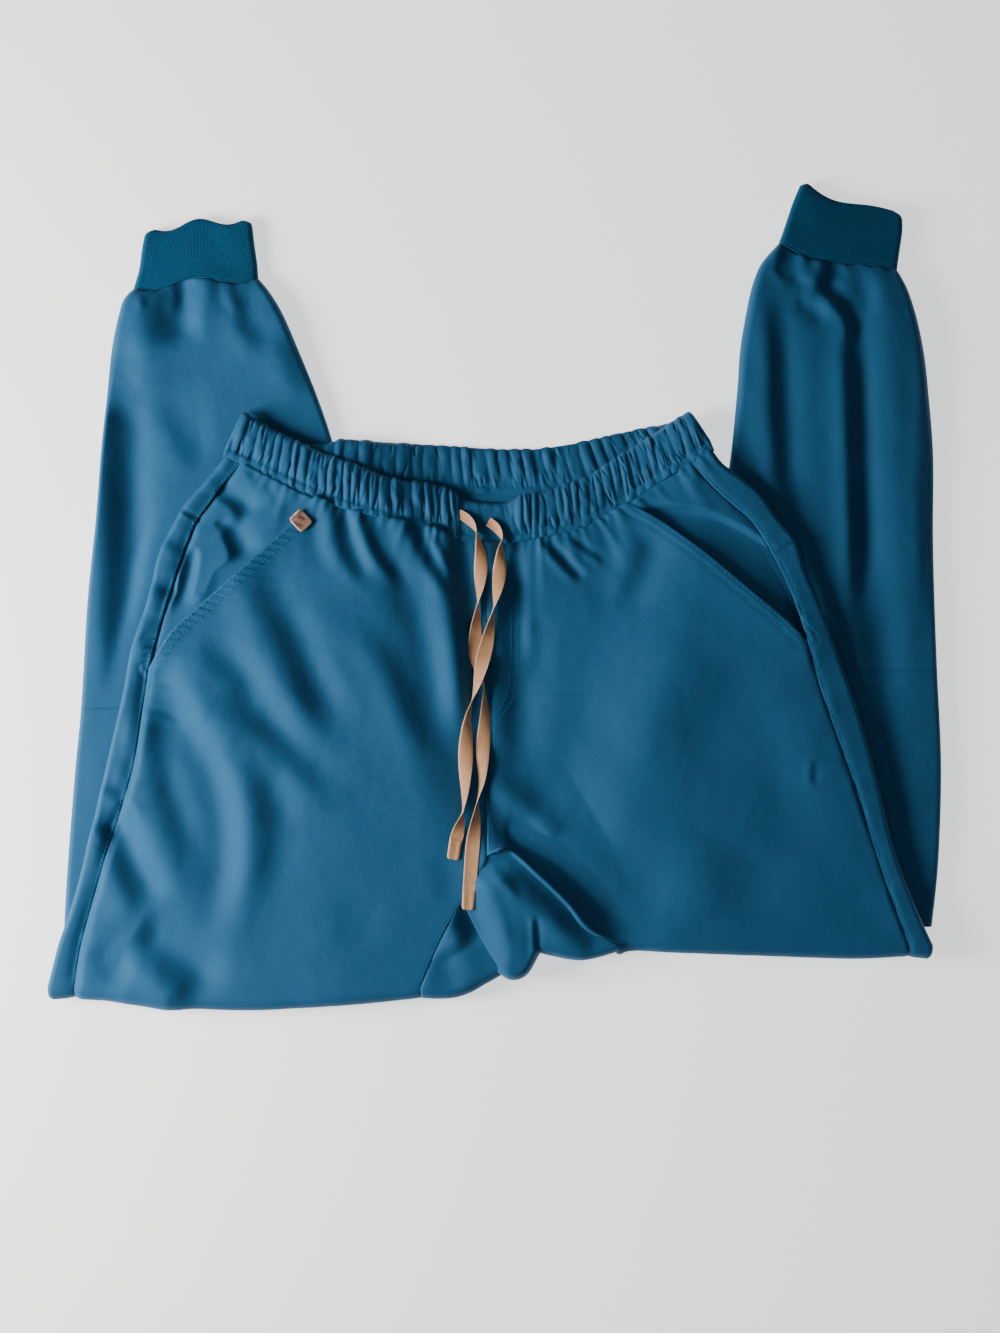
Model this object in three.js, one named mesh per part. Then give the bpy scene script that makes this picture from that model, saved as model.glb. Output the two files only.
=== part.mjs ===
// Jogger-style scrub trousers, laid face up with both lower legs folded back underneath.
// Millimetres, +Z up, the surface that the trousers rest on is Z = 0, +Y runs from the fold
// at the thighs towards the waistband and the cuffs. Names ending in _r and _l are the
// wearer's right and left, so _r lies on the -X side.
import * as THREE from "three";

// Driving sizes of the cloth and of the stack of layers.
const CLOTH_WALL = 1.7;
const RIB_WALL = 2;
const SEAM_INSET = 0.18;
const LEG_THICK = 9;
const LEG_CLEARANCE = 0.6;
const BACK_LAYERS = 2.4;
const FRONT_RISE = 8.5;
const BAND_WALL = 3;
const BAND_RISE = 8.2;
const BACK_BAND_RISE = 3;
const GATHER_HEIGHT = 0.7;
const FRONT_GATHERS = 52;
const BACK_GATHERS = 34;
const TAPE_WIDTH = 10;

// Mesh density: rows run from the waist to the fold, columns from the wearer's right to left.
const POCKET_ROWS = 8;
const LOWER_ROWS = 11;
const CENTRE_ROWS = 11;
const CROTCH_ROWS = 8;
const FRONT_COLUMNS = 14;
const BEND_STEPS = 4;

// Seams and edges seen from above, each a short run of [x, y] points.
const WAIST_SEAM = [
  [-200, 98], [-175, 88], [-144, 73], [-115, 61], [-80, 52], [-47, 45], [-16, 35],
  [11, 35], [44, 41], [65, 46], [93, 60], [121, 79], [161, 103],
];
const BAND_TOP = [
  [-184, 130], [-144, 109], [-109, 95], [-76, 83], [-43, 78], [-17, 70],
  [11, 69], [36, 74], [65, 83], [86, 96], [114, 114], [142, 132],
];
const BACK_BAND_TOP = [
  [-180, 124], [-160, 115], [-143, 109], [-128, 108], [-113, 112], [-93, 111],
  [-40, 108], [18, 105], [55, 109], [92, 117], [126, 124], [138, 128],
];
const BACK_SEAM = [
  [-193, 95], [-160, 84], [-130, 77], [-93, 77], [-40, 73], [18, 71],
  [55, 75], [92, 82], [126, 92], [153, 102],
];
const CENTRE_SEAM = [[-16, 35], [-8, 0], [-4, -60], [-4, -110], [-6, -155], [-6, -196]];

// The wearer's right half.
const RIGHT = {
  side: -1,
  outer: [
    [-200, 98], [-215, 80], [-229, 64], [-239, 47], [-249, 26], [-257, -7], [-269, -43],
    [-277, -85], [-295, -161], [-305, -204], [-314, -236], [-323, -262], [-331, -294],
  ],
  seamUpper: [
    [-188, 93], [-201, 78], [-211, 64], [-220, 52], [-227, 36], [-234, 16], [-241, -4], [-256, -58],
  ],
  seamLower: [[-256, -58], [-260, -85], [-267, -130], [-286, -192], [-305, -258], [-311, -294]],
  pocket: [[-134, 68], [-154, 46], [-187, 16], [-213, -7], [-239, -31], [-256, -58]],
  pocketLip: 1.4,
  gape: 0.4,
  crotch: [[-6, -196], [-12, -213], [-22, -239], [-41, -252], [-48, -272], [-55, -294]],
  bend: [
    [-311, -294], [-289, -295], [-255, -299], [-225, -302], [-189, -303], [-154, -302],
    [-95, -298], [-55, -294],
  ],
};

// The wearer's left half.
const LEFT = {
  side: 1,
  outer: [
    [161, 103], [169, 93], [183, 83], [197, 71], [209, 54], [223, 36], [230, 14], [240, -10],
    [260, -64], [273, -104], [283, -142], [296, -194], [312, -236], [324, -263],
  ],
  seamUpper: [[145, 94], [159, 78], [174, 64], [188, 52], [198, 38], [211, 15], [222, -11], [230, -37]],
  seamLower: [[230, -37], [242, -78], [263, -137], [278, -184], [291, -223], [306, -263]],
  pocket: [[100, 64], [120, 53], [144, 36], [160, 24], [196, -6], [213, -20], [230, -37]],
  pocketLip: 3,
  gape: 1.6,
  crotch: [[-6, -196], [10, -192], [32, -210], [54, -231], [69, -249], [93, -262]],
  bend: [[93, -262], [107, -260], [148, -261], [201, -263], [265, -265], [306, -263]],
};

// The cloth between the legs: the inner thigh beside the inseam, and the gathered gusset.
// They meet at a seam that leaves the front panel's edge GUSSET_SPLIT rows down.
const GUSSET_SPLIT = 3;
const THIGH_SEAM = [[-20, -236], [-17, -250], [-8, -265], [2, -277]];
const GUSSET_BEND = [[2, -277], [12, -281], [22, -278], [30, -262], [42, -264], [66, -268], [93, -262]];
const INNER_THIGH_BEND = [[-55, -294], [-31, -294], [-9, -284], [2, -277]];

// Folds of the upper cloth: a crest line, its width to each side, its height (a trough is
// negative) and whether it runs out of the waist seam at full height.
const FOLDS = [
  { name: "thigh ridge", line: [[-244, -58], [-215, -100], [-189, -150], [-184, -190], [-196, -240]], left: 17, right: 10, height: 6 },
  { name: "pocket ridge", line: [[-188, 20], [-182, -10], [-168, -45], [-150, -80], [-124, -118]], left: 16, right: 9, height: 4.5 },
  { name: "hip trough", line: [[-171, 24], [-168, 0], [-150, -40], [-130, -85]], left: 8, right: 10, height: -3 },
  { name: "mid ridge", line: [[-115, -15], [-84, -65], [-55, -118], [-30, -145]], left: 16, right: 10, height: 3.2 },
  { name: "cross ridge", line: [[-212, -78], [-180, -110], [-152, -138], [-122, -150]], left: 12, right: 9, height: 3 },
  { name: "side ridge", line: [[-258, -100], [-250, -148], [-244, -195]], left: 8, right: 7, height: 3 },
  { name: "low side ridge", line: [[-284, -190], [-272, -228], [-262, -250]], left: 8, right: 7, height: 2.5 },
  { name: "fold hollow", line: [[-290, -268], [-240, -276], [-220, -290]], left: 12, right: 10, height: -3 },
  { name: "centre roll", line: [[-42, 30], [-34, -10], [-28, -60], [-24, -110], [-22, -140]], left: 14, right: 8, height: 5, fromWaist: true },
  { name: "centre hollow", line: [[-10, 34], [-8, -20], [-4, -80], [-5, -125]], left: 8, right: 12, height: -3, fromWaist: true },
  { name: "waist ridge 1", line: [[-122, 60], [-116, 30], [-98, 6]], left: 8, right: 6, height: 2.6, fromWaist: true },
  { name: "waist ridge 2", line: [[-98, 54], [-88, 28], [-74, 8]], left: 8, right: 6, height: 2.6, fromWaist: true },
  { name: "waist ridge 3", line: [[-72, 50], [-60, 20], [-42, -10]], left: 9, right: 6, height: 3, fromWaist: true },
  { name: "waist ridge 4", line: [[24, 36], [42, 16], [58, 2]], left: 7, right: 7, height: -2.4, fromWaist: true },
  { name: "waist ridge 5", line: [[52, 42], [66, 26], [82, 20]], left: 6, right: 6, height: -2, fromWaist: true },
  { name: "groin ridge", line: [[0, -160], [20, -178], [38, -190]], left: 10, right: 10, height: 4 },
  { name: "gusset crease", line: [[8, -186], [38, -206], [62, -230], [88, -258]], left: 9, right: 8, height: -3 },
  { name: "gusset lobe", line: [[-3, -206], [4, -235], [13, -268]], left: 12, right: 13, height: 7 },
  { name: "gusset tail", line: [[24, -216], [50, -244], [76, -262]], left: 8, right: 12, height: 4.5 },
  { name: "gusset notch", line: [[22, -222], [30, -244], [31, -266]], left: 4, right: 5, height: -5 },
  { name: "seat swell", line: [[60, -60], [130, -120], [170, -190]], left: 45, right: 45, height: 2.5 },
];

// Sections of the folded-back legs, from the fold to the ribbed cuff: each section runs from
// the outer edge to the inner edge, and thick is its height there.
const LEG_RIGHT = [
  { outer: [-322, -282], inner: [-10, -282], thick: 9 },
  { outer: [-319, -220], inner: [-38, -222], thick: 9 },
  { outer: [-313, -140], inner: [-72, -142], thick: 9 },
  { outer: [-308, -87], inner: [-89, -85], thick: 9 },
  { outer: [-303, -7], inner: [-100, -7], thick: 9 },
  { outer: [-297, 52], inner: [-107, 52], thick: 9 },
  { outer: [-293, 104], inner: [-119, 104], thick: 9 },
  { outer: [-289, 141], inner: [-131, 141], thick: 9.5 },
  { outer: [-285, 178], inner: [-145, 176], thick: 12 },
  { outer: [-280, 203], inner: [-157, 204], thick: 12.5 },
  { outer: [-276, 216], inner: [-167, 221], thick: 11.5 },
  { outer: [-269, 224], inner: [-176, 232], thick: 10 },
];
const LEG_LEFT = [
  { outer: [325, -250], inner: [92, -250], thick: 9 },
  { outer: [330, -200], inner: [106, -200], thick: 9 },
  { outer: [332, -130], inner: [123, -130], thick: 9 },
  { outer: [329, -59], inner: [145, -58], thick: 9 },
  { outer: [327, -4], inner: [158, -4], thick: 9 },
  { outer: [326, 42], inner: [166, 42], thick: 9 },
  { outer: [326, 101], inner: [175, 98], thick: 9.5 },
  { outer: [322, 149], inner: [180, 149], thick: 12 },
  { outer: [319, 175], inner: [182, 178], thick: 13 },
  { outer: [314, 200], inner: [186, 203], thick: 13 },
  { outer: [308, 220], inner: [191, 226], thick: 12.5 },
  { outer: [303, 231], inner: [198, 243], thick: 11.5 },
  { outer: [299, 238], inner: [211, 258], thick: 10 },
];
const KNEE_SECTION = 3;
const CUFF_RIGHT = [
  { outer: [-269, 224], inner: [-176, 232], thick: 10 },
  { outer: [-265, 238], inner: [-177, 244], thick: 9 },
  { outer: [-263, 252], inner: [-179, 258], thick: 9 },
  { outer: [-260, 267], inner: [-181, 274], thick: 8.5 },
];
const CUFF_LEFT = [
  { outer: [299, 238], inner: [211, 258], thick: 10 },
  { outer: [301, 252], inner: [216, 272], thick: 9 },
  { outer: [303, 266], inner: [221, 287], thick: 9 },
  { outer: [302, 280], inner: [227, 303], thick: 8.5 },
];
const LEG_FOLDS = [
  { name: "calf trough", line: [[-236, 224], [-238, 200], [-232, 182]], left: 9, right: 7, height: -3, fromWaist: true },
  { name: "calf ridge", line: [[-222, 226], [-220, 200], [-205, 178]], left: 10, right: 12, height: 2.4, fromWaist: true },
  { name: "left trough a", line: [[222, 220], [214, 170], [216, 110], [222, 60]], left: 10, right: 12, height: -3.2 },
  { name: "left ridge a", line: [[240, 236], [242, 170], [246, 110], [252, 50]], left: 14, right: 12, height: 2.5 },
  { name: "left trough b", line: [[250, 244], [264, 190], [266, 130], [268, 60], [270, 0]], left: 9, right: 14, height: -4 },
  { name: "left ridge b", line: [[286, 230], [290, 160], [296, 90], [300, 20]], left: 16, right: 14, height: 2.2 },
];

// The drawstring's two free ends, each from where it leaves the band to its folded and
// stitched tip. Where the tape twists it is narrow and thick.
const TAPE_RIGHT = [
  { at: [-27, 57], width: 7, thick: 1.8 },
  { at: [-21, 53.5], width: 8, thick: 1.6 },
  { at: [-15.6, 47.4], width: 7, thick: 1.8 },
  { at: [-12.6, 39.2], width: 5, thick: 3 },
  { at: [-10.4, 24.4], width: 10, thick: 1.6 },
  { at: [-11.1, 7.4], width: 9, thick: 1.8 },
  { at: [-12.6, -7.4], width: 5, thick: 3 },
  { at: [-14.1, -25.2], width: 10, thick: 1.6 },
  { at: [-14.8, -45.1], width: 10, thick: 1.6 },
  { at: [-12.3, -58], width: 10, thick: 1.6 },
  { at: [-8.4, -70.3], width: 10, thick: 1.6 },
  { at: [-7.4, -85], width: 10, thick: 1.6 },
  { at: [-7.6, -100], width: 10, thick: 1.6 },
  { at: [-9, -118], width: 10, thick: 1.6 },
  { at: [-10, -140], width: 9, thick: 1.8 },
  { at: [-12.8, -154.7], width: 5, thick: 3 },
  { at: [-14.4, -170], width: 10, thick: 1.6 },
  { at: [-16.6, -191], width: 10, thick: 1.6 },
  { at: [-18.2, -213], width: 10, thick: 1.8 },
  { at: [-19, -221], width: 10.6, thick: 2.6 },
  { at: [-20, -236], width: 10.6, thick: 2.6 },
];
const TAPE_LEFT = [
  { at: [-5, 51], width: 6, thick: 1.8 },
  { at: [1, 46.6], width: 8, thick: 1.6 },
  { at: [5.2, 38.5], width: 5, thick: 3 },
  { at: [4.4, 31.1], width: 9, thick: 1.8 },
  { at: [3.7, 17.8], width: 10, thick: 1.6 },
  { at: [2.2, 4.4], width: 9, thick: 1.8 },
  { at: [-0.7, -11.8], width: 5, thick: 3 },
  { at: [-5, -34.8], width: 10, thick: 1.6 },
  { at: [-9.6, -54.8], width: 10, thick: 1.6 },
  { at: [-13.6, -72], width: 8, thick: 1.8 },
  { at: [-16.8, -82], width: 5, thick: 3 },
  { at: [-20, -96.2], width: 9, thick: 1.8 },
  { at: [-21.2, -110.3], width: 10, thick: 1.6 },
  { at: [-21.8, -125.1], width: 10, thick: 1.6 },
  { at: [-22.4, -147.3], width: 9, thick: 1.8 },
  { at: [-24, -164.3], width: 5, thick: 3 },
  { at: [-27, -177.6], width: 10, thick: 1.8 },
  { at: [-29, -186], width: 10.6, thick: 2.6 },
  { at: [-31, -199], width: 10.6, thick: 2.6 },
];
const TAG = { at: [-143, 51], wide: 11, high: 14, thick: 1.2, turn: 0.75 };

function clamp(x, low, high) {
  return Math.min(high, Math.max(low, x));
}

function smooth(from, to, x) {
  const t = clamp((x - from) / (to - from), 0, 1);
  return t * t * (3 - 2 * t);
}

function mix(a, b, t) {
  return a.map((value, k) => value + (b[k] - value) * t);
}

// A curve through short runs of [x, y] points, as count + 1 evenly spaced points.
function along(points, count) {
  const curve = new THREE.SplineCurve(points.map(([x, y]) => new THREE.Vector2(x, y)));
  curve.arcLengthDivisions = 400;
  return curve.getSpacedPoints(count).map((p) => [p.x, p.y]);
}

// The stretch of a curve between the points nearest to two given ones.
function between(points, from, to, count) {
  const fine = along(points, 400);
  const nearest = ([x, y]) => {
    const far = fine.map((p) => Math.hypot(p[0] - x, p[1] - y));
    return far.indexOf(Math.min(...far));
  };
  const [a, b] = [nearest(from), nearest(to)];
  return along(Array.from({ length: 9 }, (_, k) => fine[Math.round(a + ((b - a) * k) / 8)]), count);
}

// Unit normals of a run of points, to the left of its direction.
function normals(run) {
  return run.map((_, k) => {
    const a = run[Math.max(0, k - 1)];
    const b = run[Math.min(run.length - 1, k + 1)];
    const length = Math.hypot(b[0] - a[0], b[1] - a[1]);
    return [-(b[1] - a[1]) / length, (b[0] - a[0]) / length];
  });
}

// Height that a table of folds adds at a point.
function foldReader(table) {
  const lines = table.map((fold) => ({ ...fold, run: along(fold.line, 16) }));
  return (x, y) => {
    let total = 0;
    for (const { run, left, right, height, fromWaist } of lines) {
      let best = { d: Infinity };
      for (let k = 0; k + 1 < run.length; k++) {
        const [ax, ay] = run[k];
        const [dx, dy] = [run[k + 1][0] - ax, run[k + 1][1] - ay];
        const t = clamp(((x - ax) * dx + (y - ay) * dy) / (dx * dx + dy * dy), 0, 1);
        const [ex, ey] = [x - ax - dx * t, y - ay - dy * t];
        const d = Math.hypot(ex, ey);
        if (d < best.d) best = { d, s: (k + t) / (run.length - 1), turn: dx * ey - dy * ex };
      }
      // Every line runs towards the fold, so its left-hand side is the +X one.
      const width = best.turn > 0 ? right : left;
      const start = fromWaist ? 1 : smooth(0, 0.3, best.s);
      const end = 1 - smooth(0.7, 1, best.s);
      const fade = best.s <= 0 || best.s >= 1 ? Math.exp(-best.d / width) : 1;
      total += height * Math.exp(-((best.d / width) ** 2)) * start * end * fade;
    }
    return total;
  };
}

const upperFolds = foldReader(FOLDS);
const legFolds = foldReader(LEG_FOLDS);

// X of a leg's inner edge at a given Y, from its table of sections.
function innerEdge(sections, y) {
  let k = 0;
  while (k + 2 < sections.length && sections[k + 1].inner[1] < y) k++;
  const [a, b] = [sections[k].inner, sections[k + 1].inner];
  return a[0] + (b[0] - a[0]) * clamp((y - a[1]) / (b[1] - a[1]), 0, 1);
}

// Height of what lies under the upper cloth: the folded-back legs, and the floor between
// them. Near the fold the cloth spans the two legs at one height.
function support(x, y) {
  const right = 1 - smooth(8, 80, x - innerEdge(LEG_RIGHT, y));
  const left = 1 - smooth(8, 80, innerEdge(LEG_LEFT, y) - x);
  const nearFold = smooth(-120, -205, y);
  return (LEG_THICK + LEG_CLEARANCE) * Math.max(right, left, nearFold);
}

function distanceTo(run, x, y) {
  return Math.min(...run.map(([a, b]) => Math.hypot(x - a, y - b)));
}

const pocketRuns = [RIGHT, LEFT].map((half) => ({ run: along(half.pocket, 40), lip: half.pocketLip }));
const seamRuns = [RIGHT, LEFT].map((half) => [...along(half.seamUpper, 30), ...along(half.seamLower, 30)]);

// Top of the upper cloth. Pocket mouths stand a little proud, side seams lie in a shallow groove.
function upperTop(x, y) {
  const lip = pocketRuns.reduce((sum, { run, lip }) => sum + lip * Math.exp(-((distanceTo(run, x, y) / 9) ** 2)), 0);
  const groove = seamRuns.reduce((sum, run) => sum + 1.6 * Math.exp(-((distanceTo(run, x, y) / 6) ** 2)), 0);
  return support(x, y) + FRONT_RISE + Math.max(-3, upperFolds(x, y) + lip - groove);
}

// A grid of [x, y] points spread between four edges: left and right have one point for each
// row, top and bottom one for each column.
function spread(left, right, top, bottom) {
  const [rows, columns] = [left.length - 1, top.length - 1];
  return left.map((_, j) =>
    top.map((__, i) => {
      const [u, v] = [i / columns, j / rows];
      const sides = mix(left[j], right[j], u);
      const ends = mix(top[i], bottom[i], v);
      const corners = mix(mix(top[0], top[columns], u), mix(bottom[0], bottom[columns], u), v);
      return sides.map((value, k) => value + ends[k] - corners[k]);
    }),
  );
}

// Draws the rim of a grid in by the seam inset, so that neighbouring panels stay apart.
function insetRim(grid) {
  const [rows, columns] = [grid.length - 1, grid[0].length - 1];
  const towards = (p, q) => {
    const length = Math.hypot(q[0] - p[0], q[1] - p[1]);
    return mix(p, q, Math.min(0.4, SEAM_INSET / length));
  };
  const inRows = grid.map((row, j) => {
    const next = grid[j === 0 ? 1 : rows - 1];
    return j === 0 || j === rows ? row.map((p, i) => towards(p, next[i])) : row;
  });
  return inRows.map((row) => row.map((p, i) => (i === 0 || i === columns ? towards(p, row[i === 0 ? 1 : columns - 1]) : p)));
}

// A closed solid between two grids of [x, y, z] points: outer is its upper skin.
function shell(outer, inner, closed = false) {
  const [rows, columns] = [outer.length, outer[0].length];
  const position = [...outer.flat(2), ...inner.flat(2)];
  const index = [];
  const at = (j, i, skin) => skin * rows * columns + j * columns + (i % columns);
  const quad = (a, b, c, d) => index.push(a, b, c, a, c, d);
  const across = closed ? columns : columns - 1;
  for (let j = 0; j + 1 < rows; j++) {
    for (let i = 0; i < across; i++) {
      quad(at(j, i, 0), at(j + 1, i, 0), at(j + 1, i + 1, 0), at(j, i + 1, 0));
      quad(at(j, i, 1), at(j, i + 1, 1), at(j + 1, i + 1, 1), at(j + 1, i, 1));
    }
    if (!closed) {
      quad(at(j, 0, 1), at(j + 1, 0, 1), at(j + 1, 0, 0), at(j, 0, 0));
      quad(at(j, across, 0), at(j + 1, across, 0), at(j + 1, across, 1), at(j, across, 1));
    }
  }
  for (let i = 0; i < across; i++) {
    quad(at(0, i, 0), at(0, i + 1, 0), at(0, i + 1, 1), at(0, i, 1));
    quad(at(rows - 1, i, 1), at(rows - 1, i + 1, 1), at(rows - 1, i + 1, 0), at(rows - 1, i, 0));
  }
  const geometry = new THREE.BufferGeometry();
  geometry.setAttribute("position", new THREE.Float32BufferAttribute(position, 3));
  geometry.setIndex(index);
  geometry.computeVertexNormals();
  return geometry;
}

// Materials, one for each finish.
const twill = new THREE.MeshStandardMaterial({ color: 0x2a6b94, roughness: 0.72, metalness: 0 });
const rib = new THREE.MeshStandardMaterial({ color: 0x1f5479, roughness: 0.9, metalness: 0 });
const tape = new THREE.MeshStandardMaterial({ color: 0xc79273, roughness: 0.8, metalness: 0 });
const tagCloth = new THREE.MeshStandardMaterial({ color: 0xa5847a, roughness: 0.6, metalness: 0 });

const trousers = new THREE.Group();
trousers.name = "scrub_trousers";

function addPiece(name, geometry, material) {
  const mesh = new THREE.Mesh(geometry, material);
  mesh.name = name;
  trousers.add(mesh);
  return mesh;
}

// Lays a plan grid as a cloth wall at the height that top gives.
function lay(grid, top, wall) {
  const outer = grid.map((row) => row.map(([x, y]) => [x, y, top(x, y)]));
  const inner = outer.map((row) => row.map(([x, y, z]) => [x, y, z - wall]));
  return { outer, inner };
}

// Carries a laid wall's last row round the fold and a little way along the floor. The outer
// skin keeps its distance from the fold's axis, and so does the inner skin.
function bendUnder(skins, outward, axisHeight, flap, turn = Math.PI) {
  const lastOuter = skins.outer.at(-1);
  const lastInner = skins.inner.at(-1);
  for (let k = 1; k <= BEND_STEPS; k++) {
    const angle = (turn * k) / BEND_STEPS;
    for (const [skin, last] of [[skins.outer, lastOuter], [skins.inner, lastInner]]) {
      skin.push(
        last.map(([x, y, z], i) => {
          const reach = z - axisHeight[i];
          return [
            x + outward[i][0] * reach * Math.sin(angle),
            y + outward[i][1] * reach * Math.sin(angle),
            axisHeight[i] + reach * Math.cos(angle),
          ];
        }),
      );
    }
  }
  if (flap) {
    for (const skin of [skins.outer, skins.inner]) {
      skin.push(skin.at(-1).map(([x, y, z], i) => [x - outward[i][0] * flap, y - outward[i][1] * flap, z]));
    }
  }
  return skins;
}

// Carries a laid wall's outer column down round the garment's side edge.
function bendSide(skins, column, outward, radius, turn) {
  const steps = 3;
  for (const [skin, wall] of [[skins.outer, 0], [skins.inner, skins.wall]]) {
    skin.forEach((row, j) => {
      const [x, y, z] = row[column === 0 ? 0 : row.length - 1];
      const axis = z + wall - radius;
      const added = [];
      for (let k = 1; k <= steps; k++) {
        const angle = (turn * k) / steps;
        const reach = radius - wall;
        added.push([
          x + outward[j][0] * reach * Math.sin(angle),
          y + outward[j][1] * reach * Math.sin(angle),
          axis + reach * Math.cos(angle),
        ]);
      }
      if (column === 0) row.unshift(...added.reverse());
      else row.push(...added);
    });
  }
  return skins;
}

// The way the cloth turns at a fold: straight out from it, and along the grid at its ends.
function turnOut(fold, depth = 1) {
  return normals(fold).map(([x, y], i) => [-x * depth * Math.sin((Math.PI * i) / (fold.length - 1)), -Math.abs(y) * depth]);
}

// Front panels: from the waist seam and the slanted pocket mouth to the fold, and round it.
const FLAP = 8;
const crotchRuns = [RIGHT, LEFT].map((half) => along(half.crotch, CROTCH_ROWS));
for (const [k, half] of [RIGHT, LEFT].entries()) {
  const sideEdge = [...along(half.pocket, POCKET_ROWS), ...along(half.seamLower, LOWER_ROWS).slice(1)];
  const middle = [...along(CENTRE_SEAM, CENTRE_ROWS), ...crotchRuns[k].slice(1)];
  const [left, right] = half === RIGHT ? [sideEdge, middle] : [middle, sideEdge];
  const top = between(WAIST_SEAM, left[0], right[0], FRONT_COLUMNS);
  const bottom = along(half.bend, FRONT_COLUMNS);
  left[0] = top[0];
  right[0] = top[FRONT_COLUMNS];
  left[left.length - 1] = bottom[0];
  right[right.length - 1] = bottom[FRONT_COLUMNS];
  const grid = insetRim(spread(left, right, top, bottom));
  const skins = lay(grid, upperTop, CLOTH_WALL);
  bendUnder(skins, turnOut(bottom), skins.outer.at(-1).map((p) => p[2] / 2), FLAP);
  addPiece(half === RIGHT ? "front_r" : "front_l", shell(skins.outer, skins.inner), twill);
}

// Side strips: the back panel comes round the side and shows outside the side seam. A yoke
// seam parts its top from the rest.
const YOKE_ROWS = 3;
for (const half of [RIGHT, LEFT]) {
  const name = half === RIGHT ? "r" : "l";
  const seam = [...along(half.seamUpper, POCKET_ROWS), ...along(half.seamLower, LOWER_ROWS).slice(1)];
  const edge = along(half.outer, POCKET_ROWS + LOWER_ROWS);
  const outward = normals(edge).map(([x, y]) => [x, y].map((v) => v * half.side * Math.sign(x)));
  const radius = (FRONT_RISE - 0.4) / 2;
  const shoulder = edge.map(([x, y], j) => [x - outward[j][0] * radius, y - outward[j][1] * radius]);
  const rows = edge.map((_, j) => {
    const inner = seam[j];
    return half === RIGHT ? [shoulder[j], mix(shoulder[j], inner, 0.5), inner] : [inner, mix(inner, shoulder[j], 0.5), shoulder[j]];
  });
  rows[0] = rows[0].map((p, i) => mix(p, rows[1][i], 0.06));
  const parts = [
    [`yoke_${name}`, 0, YOKE_ROWS],
    [`back_side_${name}`, YOKE_ROWS, rows.length - 1],
  ];
  for (const [part, from, to] of parts) {
    const grid = insetRim(rows.slice(from, to + 1));
    const skins = { ...lay(grid, upperTop, CLOTH_WALL), wall: CLOTH_WALL };
    bendSide(skins, half === RIGHT ? 0 : -1, outward.slice(from, to + 1), radius, Math.PI * 0.8);
    if (to === rows.length - 1) {
      const last = skins.outer.at(-1);
      const axis = last.map(() => upperTop(...grid.at(-1)[1]) / 2);
      bendUnder(skins, last.map(() => [0, -1]), axis, 0, Math.PI * 0.9);
    }
    addPiece(part, shell(skins.outer, skins.inner), twill);
  }
}

// Pocket facings: the cloth seen inside each slanted pocket mouth. It runs a little way under
// the mouth, and on the wearer's left it sinks, so that the mouth gapes.
const UNDERLAP = 6;
const FACING_COLUMNS = 5;
const FACING_RISE = 6;
for (const half of [RIGHT, LEFT]) {
  const seam = along(half.seamUpper, POCKET_ROWS);
  const mouth = along(half.pocket, POCKET_ROWS).map(([x, y]) => [x - half.side * UNDERLAP * 0.7, y - UNDERLAP * 0.7]);
  const [left, right] = half === RIGHT ? [seam, mouth] : [mouth, seam];
  const top = Array.from({ length: FACING_COLUMNS + 1 }, (_, i) => mix(left[0], right[0], i / FACING_COLUMNS));
  const waist = along(WAIST_SEAM, 120);
  const hung = top.map(([x, y]) => {
    const nearest = waist.reduce((a, b) => (Math.abs(b[0] - x) < Math.abs(a[0] - x) ? b : a));
    return [x, Math.min(y, nearest[1] - 0.6)];
  });
  left[0] = hung[0];
  right[0] = hung[FACING_COLUMNS];
  const bottom = Array.from({ length: FACING_COLUMNS + 1 }, (_, i) => mix(left.at(-1), right.at(-1), i / FACING_COLUMNS));
  const grid = insetRim(spread(left, right, hung, bottom));
  const rows = grid.length - 1;
  const sunk = (j, i) => half.gape * Math.sin((Math.PI * j) / rows) * Math.sin((Math.PI * (i + 0.5)) / (FACING_COLUMNS + 1));
  const outer = grid.map((row, j) =>
    row.map(([x, y], i) => {
      const under = upperTop(x, y) - CLOTH_WALL - 0.7;
      return [x, y, Math.max(support(x, y) + 4.4, Math.min(support(x, y) + FACING_RISE - sunk(j, i), under))];
    }),
  );
  const inner = outer.map((row) => row.map(([x, y, z]) => [x, y, z - CLOTH_WALL]));
  addPiece(`pocket_facing_${half === RIGHT ? "r" : "l"}`, shell(outer, inner), twill);
}

// A panel between the legs: its top corners lie a little way down its two side edges.
function addInsert(name, left, right, bottom, columns, depth) {
  const rows = left.length - 1;
  const fold = along(bottom, columns);
  const sides = [left, right].map((edge) => [mix(edge[0], edge[1], 0.3), ...edge.slice(1)]);
  sides[0][rows] = fold[0];
  sides[1][rows] = fold[columns];
  const top = fold.map((_, i) => mix(sides[0][0], sides[1][0], i / columns));
  const grid = insetRim(spread(sides[0], sides[1], top, fold));
  const skins = lay(grid, upperTop, CLOTH_WALL);
  bendUnder(skins, turnOut(fold, depth), skins.outer.at(-1).map((p) => p[2] / 2), 0, Math.PI * 0.9);
  addPiece(name, shell(skins.outer, skins.inner), twill);
}

// Inner thigh: the sliver of the back leg panel between the inseam and the gusset. Gusset: the
// loose cloth of the crotch, pushed up into two lobes with a notch between them.
const thighSeam = along(THIGH_SEAM, CROTCH_ROWS - GUSSET_SPLIT);
thighSeam[0] = crotchRuns[0][GUSSET_SPLIT];
const gussetLeft = [...crotchRuns[0].slice(0, GUSSET_SPLIT), ...thighSeam];
addInsert("inner_thigh_r", crotchRuns[0].slice(GUSSET_SPLIT), thighSeam, INNER_THIGH_BEND, 4, 1);
addInsert("gusset", gussetLeft, crotchRuns[1], GUSSET_BEND, 12, 0.6);

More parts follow.
